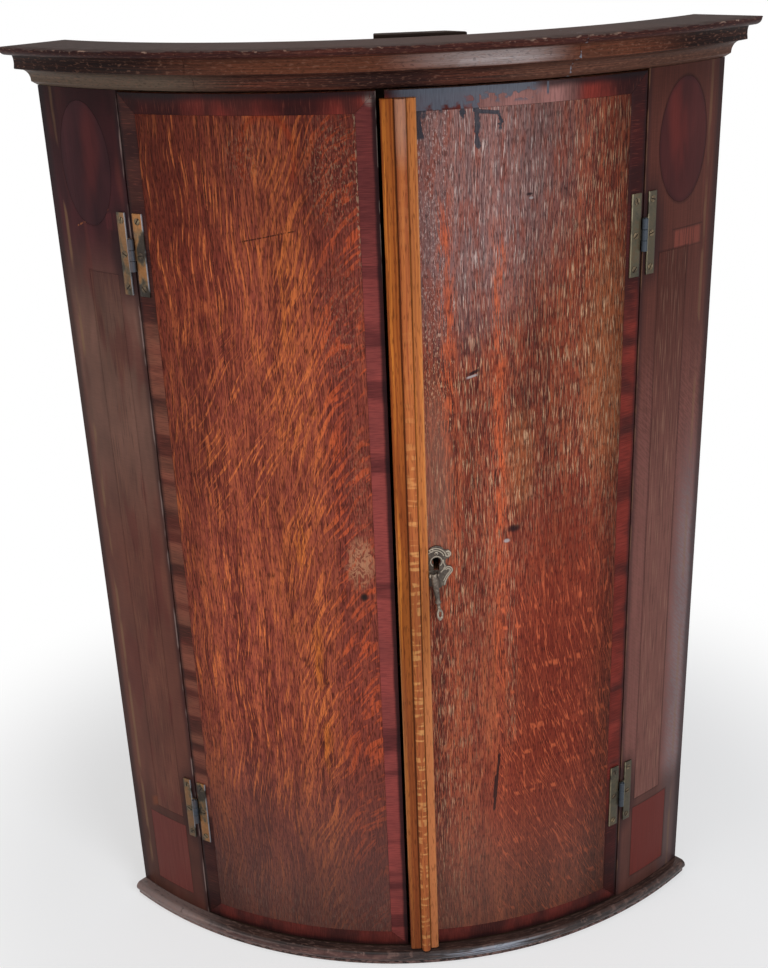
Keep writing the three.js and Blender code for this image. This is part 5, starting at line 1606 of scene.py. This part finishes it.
# %% Keyhole plate
keyhole_arc = 34 * mm
keyhole_height = base_top + 466 * mm
plate_frame = front_frame(keyhole_arc, keyhole_height, 0.35 * mm)
plate_cut = -7.6
rib_height = 1.4
rib_radius = 0.75 * mm
keyhole_radius = 4.2 * mm
slot_half_width = 2.7 * mm
slot_depth = 11 * mm
plate_right = [(3, 15.9), (5.6, 14.6), (7.3, 12), (9, 11.5), (11, 11.8), (12.9, 10.4), (13.8, 7.8),
               (13.5, 5.2), (12.1, 3.3), (10, 2.4), (8.9, 1.2), (8.7, -1.2), (9.4, -4), (10.6, -5.5),
               (12.6, -5.5), (14.6, -6.8), (15.5, -9.3), (15, -12), (13.5, -14.4), (11.7, -16.6),
               (10.1, -19.2), (9.2, -22.2), (8.7, -24.8), (7.2, -26.3), (5.4, -26), (4, -27.5), (1.8, -28.9)]


def rod(name, points, radius, place):
    """A round wire along drawn points"""
    obj = drawn_line(name, in_mm(points), False)
    select_only(obj)
    bpy.ops.object.convert(target="CURVE")
    obj.data.bevel_depth = radius
    obj.data.bevel_resolution = 1
    obj.data.use_fill_caps = True
    bpy.ops.object.convert(target="MESH")
    obj = bpy.context.object
    edit(obj)
    tidy_up()
    leave()
    return put(obj, place)


def keyhole_saw(low, high):
    """A round hole with a slot below it, sawn straight back"""
    place = Matrix.Translation(front(keyhole_arc, keyhole_height)) @ Matrix.Rotation(math.pi / 2, 4, "X")
    bpy.ops.object.select_all(action="DESELECT")
    bpy.ops.mesh.primitive_cylinder_add(vertices=40, radius=keyhole_radius, depth=high - low,
                                        location=(0, 0, (low + high) / 2))
    hole = fixed("keyhole")
    slot = block("slot", (-slot_half_width, -slot_depth, low - mm), (slot_half_width, 0, high + mm), upright)
    return put(carry_out(hole, "slot", slot, "UNION"), place)


plate_left = [(max(-x, plate_cut), y) for x, y in reversed(plate_right)]
plate_outline = in_mm([(0, 16.4), *plate_right, (0, -29.4), *plate_left])
plate = sawn("keyhole_plate_cast", plate_outline, 0, 1.5 * mm, plate_frame)
ease_edges(plate, 0.3 * mm)


# %% Plate scrolls
def curl(centre, radius, start, end, steps=10):
    return rounded(centre, (radius, radius), start, end, steps)


ribs = [curl((-1, 3.4), 10.6, 125, 12), curl((-1, 3.4), 8.4, 140, 16),
        curl((10.9, 7.5), 2.7, 130, -150), curl((11.2, 7), 1, 130, -120, 6),
        [*curl((11.3, -9.8), 3.7, 170, -30, 9), (12.2, -14), (9.6, -17.8), (7.9, -21.6), (7.2, -25)],
        [*curl((11, -10), 2, 160, -40, 6), (10.4, -13.6), (8.2, -16.8), (6.4, -20.6)],
        [(6.6, 1.8), (6.9, -2), (8.2, -5.4), (6, -9.4), (3.8, -11.4)],
        curl((0, 0), 5.6, -50, 230, 20),
        curl((-4.6, 12), 1.6, 0, 300, 8)]
for points in ribs:
    rib = rod("rib", [(x, y, rib_height) for x, y in points], rib_radius, plate_frame)
    carry_out(plate, "rib", rib, "UNION")
carry_out(plate, "keyhole", keyhole_saw(-6 * mm, 8 * mm), "DIFFERENCE")
smooth_over(plate)
settle(plate, "right_door", finishes["plate"], "plate_brass", "keyhole_plate")

board = bpy.data.objects["right_door_board"]
carry_out(board, "keyhole", keyhole_saw(-30 * mm, 3 * mm), "DIFFERENCE")

rivet_profile = in_mm([(0, 0), (1.7, 0), (1.9, 0.3), (1.5, 0.8), (0.8, 1.05), (0, 1.1)])
for word, rise in (("upper", 8.5 * mm), ("lower", -24 * mm)):
    place = front_frame(keyhole_arc, keyhole_height + rise, 1.9 * mm)
    rivet = turned(f"keyhole_plate_{word}_rivet", rivet_profile, place, 16)
    settle(rivet, "right_door", finishes["plate"], "plate_brass", f"keyhole_plate_{word}_pin")

# %% [markdown]
# The door is pulled open by a slim drop that swings in a little bracket. The drop is turned as on a
# lathe, bored for its pin, and ends in a small loop. It hangs a little out of line, as it does in
# life.

# %% Drop pull
pull_arc = 31 * mm
pull_out = 7.4 * mm
pull_frame = front_frame(pull_arc, keyhole_height - 12 * mm, pull_out)
sideways = Matrix.Rotation(math.pi / 2, 4, "Y")
pull_lean = 0.11
loop_drop = 42.4 * mm
loop_turn = math.radians(40)


def round_bar(radius, half_length):
    """The profile of a plain round bar, in millimetres"""
    return in_mm([(0, -half_length), (radius, -half_length), (radius, half_length), (0, half_length)])


bracket = block("pull_bracket_cast", *in_mm([(-4.6, -3.5, -5), (4.6, 3.5, -4)]), pull_frame)
for end in (-1, 1):
    ear_profile = in_mm([(0, end * 3.2), (2.2, end * 3.2), (2.2, end * 4.6), (0, end * 4.6)])
    ear = turned("ear", ear_profile, pull_frame @ sideways, 20)
    near, far = sorted((end * 3.3, end * 4.5))
    web = block("web", *in_mm([(near, -2.05, -4.6), (far, 2.05, 0)]), pull_frame)
    carry_out(bracket, "web", web, "UNION")
    carry_out(bracket, "ear", ear, "UNION")
cross_pin = turned("cross_pin", round_bar(1, 4), pull_frame @ sideways, 16)
carry_out(bracket, "pin", cross_pin, "UNION")
smooth_over(bracket)
settle(bracket, "right_door", finishes["plate"], "plate_brass", "pull_bracket")

hanging = pull_frame @ Matrix.Rotation(pull_lean, 4, "Z") @ Matrix.Rotation(-math.pi / 2, 4, "X")
stem_profile = [(2.3, 2.4), (2.8, 2.4), (2.9, 1), (2.9, -2.4), (3.3, -5), (3.2, -10), (2.9, -17), (2.4, -24),
                (2.1, -26.6), (2.4, -27.2), (3, -28.1), (3.1, -28.8), (2.8, -29.6), (2.1, -30.3), (1.6, -31.2),
                (1.5, -33.5), (1.7, -36), (1.2, -37.4), (0, -37.8), (0, -5), (1.6, -4.6), (2.2, -3)]
pull = turned("drop_pull_cast", in_mm(stem_profile), upright, 24, True)
put(pull, hanging)
bore = turned("bore", round_bar(1.3, 8), pull_frame @ sideways, 16)
carry_out(pull, "bore", bore, "DIFFERENCE")
bpy.ops.object.select_all(action="DESELECT")
bpy.ops.mesh.primitive_torus_add(major_radius=3.1 * mm, minor_radius=1.15 * mm,
                                 major_segments=28, minor_segments=12)
loop = fixed("loop")
squeeze = Matrix.Diagonal((0.95, 1.55, 1, 1))
put(loop, pull_frame @ Matrix.Rotation(pull_lean, 4, "Z") @ Matrix.Translation((0, -loop_drop, 0))
    @ Matrix.Rotation(loop_turn, 4, "Y") @ squeeze)
carry_out(pull, "loop", loop, "UNION")
smooth_over(pull)
settle(pull, "drop_pull", finishes["plate"], "plate_brass", "drop_pull")

# %% [markdown]
# A corner shelf has two straight edges along the walls and a bowed front that follows the doors.
# Its plan is drawn, sawn from a board, and the edges are rounded over.

# %% Shelves
shelf_setback = 72.9 * mm
board_wall_gap = 10.3 * mm
board_corner_gap = 40.3 * mm


def plan_outline(radius):
    """A corner shelf seen from above: a bowed front between the two walls"""
    reach = math.sqrt(radius ** 2 - board_wall_gap ** 2)
    side_x, side_y = [(reach + sign * board_wall_gap) / math.sqrt(2) for sign in (-1, 1)]
    near_x = board_corner_gap - board_wall_gap * math.sqrt(2)
    end_turn = math.atan2(side_x, side_y)
    steps = 90
    turns = [end_turn * (2 * i / steps - 1) for i in range(steps + 1)]
    bow = [(radius * math.sin(turn), corner.y - radius * math.cos(turn)) for turn in turns]
    return [*bow, (near_x, corner.y - board_corner_gap), (-near_x, corner.y - board_corner_gap)]


for node in ("shelf_1", "shelf_2"):
    low, high = [place.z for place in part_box(node)]
    shelf = sawn(node + "_board", plan_outline(case_radius - shelf_setback), low, high, upright)
    ease_edges(shelf, 3 * mm, 4)
    settle(shelf, "carcass", finishes["pine"], "board_pine", node)

# %% [markdown]
# Nobody sees the back, so it is made of rough pine planks and one narrow board across the corner.
# The frame already has their exact shape. Welded copies of it get their sharp edges eased.

# %% Back boards
for node in ("left_rear_plank", "left_front_plank", "right_rear_plank", "right_front_plank", "corner_board",
             "top_cleat"):
    plank = copy_of_node(node + "_sawn", node)
    ease_edges(plank, 1.2 * mm)
    bpy.ops.object.shade_flat()
    settle(plank, "carcass", finishes["cleat" if node == "top_cleat" else "pine_up"], "board_pine", node)

# %% [markdown]
# The planks are held by hand-made nails. Five hammer blows gave each head its facets, and no two
# heads are turned alike.

# %% Nails
nail_profile = in_mm([(0, 0.05), (4.6, 0.05), (4.8, 0.5), (2.9, 1.5), (1.2, 1.9), (0, 1.9)])
nailed_boards = ("bottom_board", "shelf_1", "shelf_2", "top_board")
nail_lines = [(0, 0), (-1, 147.8), (-1, 329.6), (1, 147.8), (1, 329.6)]
nail_dice = random.Random(11)
head = turned("rosehead", nail_profile, upright, 5)
nails = []
for node in nailed_boards:
    low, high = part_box(node)
    height = case_top - 4 * mm if node == "top_board" else (low.z + high.z) / 2
    for side, run in nail_lines:
        away = run * mm / math.sqrt(2)
        place = Vector((side * away, corner.y - away if side else cad_box[1].y, height))
        turn = Matrix.Rotation(-side * math.pi / 4, 4, "Z") @ Matrix.Rotation(-math.pi / 2, 4, "X")
        twist = Matrix.Rotation(nail_dice.uniform(0, math.tau), 4, "Z")
        nails.append(own_copy(head, "nail", Matrix.Translation(place) @ turn @ twist))
bpy.data.objects.remove(head)
settle(joined("roseheads", nails), "carcass", finishes["iron"], "lock_iron")

# %% [markdown]
# The lock sits behind the keyhole. The left door is held shut by two slide bolts, above and below:
# a square bar in two guides, pushed by a small turned knob.

# %% Lock and slide bolts
for node in ("lock_case", "lock_bolt", "upper_bolt_plate", "lower_bolt_plate"):
    piece = copy_of_node(node + "_iron", node)
    ease_edges(piece, 0.3 * mm)
    body = {"lock_case": "right_door", "lock_bolt": "lock_bolt"}.get(node, "left_door")
    settle(piece, body, finishes["iron"], "lock_iron", node)

bolt_half = 2.5 * mm
bolt_place = (-22 * mm, -25.2 * mm)
knob_profile = in_mm([(0, -8.5), (1.7, -8.4), (2.7, -7.6), (3, -6.4), (2.7, -5.2), (1.7, -4.4),
                      (1.3, -3.8), (1.4, -2), (0, -2)])
for word in ("upper", "lower"):
    low, high = [place.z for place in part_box(word + "_bolt")]
    plate_low, plate_high = [place.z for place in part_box(word + "_bolt_plate")]
    bar = block(word + "_bolt_bar", (-bolt_half, low, -bolt_half), (bolt_half, high, bolt_half),
                front_frame(bolt_place[0], 0, bolt_place[1]))
    ease_edges(bar, 0.4 * mm)
    knob = turned("knob", knob_profile,
                  front_frame(bolt_place[0], (plate_low + plate_high) / 2, bolt_place[1]), 20)
    carry_out(bar, "knob", knob, "UNION")
    smooth_over(bar)
    settle(bar, word + "_bolt", finishes["iron"], "lock_iron", word + "_bolt")

# %% [markdown]
# The top and bottom boards are hardly seen, and the frame's own pieces serve as they are. They only
# take a finish, dark and dusty on top of the cupboard, bare pine inside.

# %% Boards that stay as they are
for node, finish in (("top_board", "top_dust"), ("bottom_board", "pine")):
    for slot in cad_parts[node].material_slots:
        slot.material = finishes[finish]
    print(node, "takes the finish", finish)
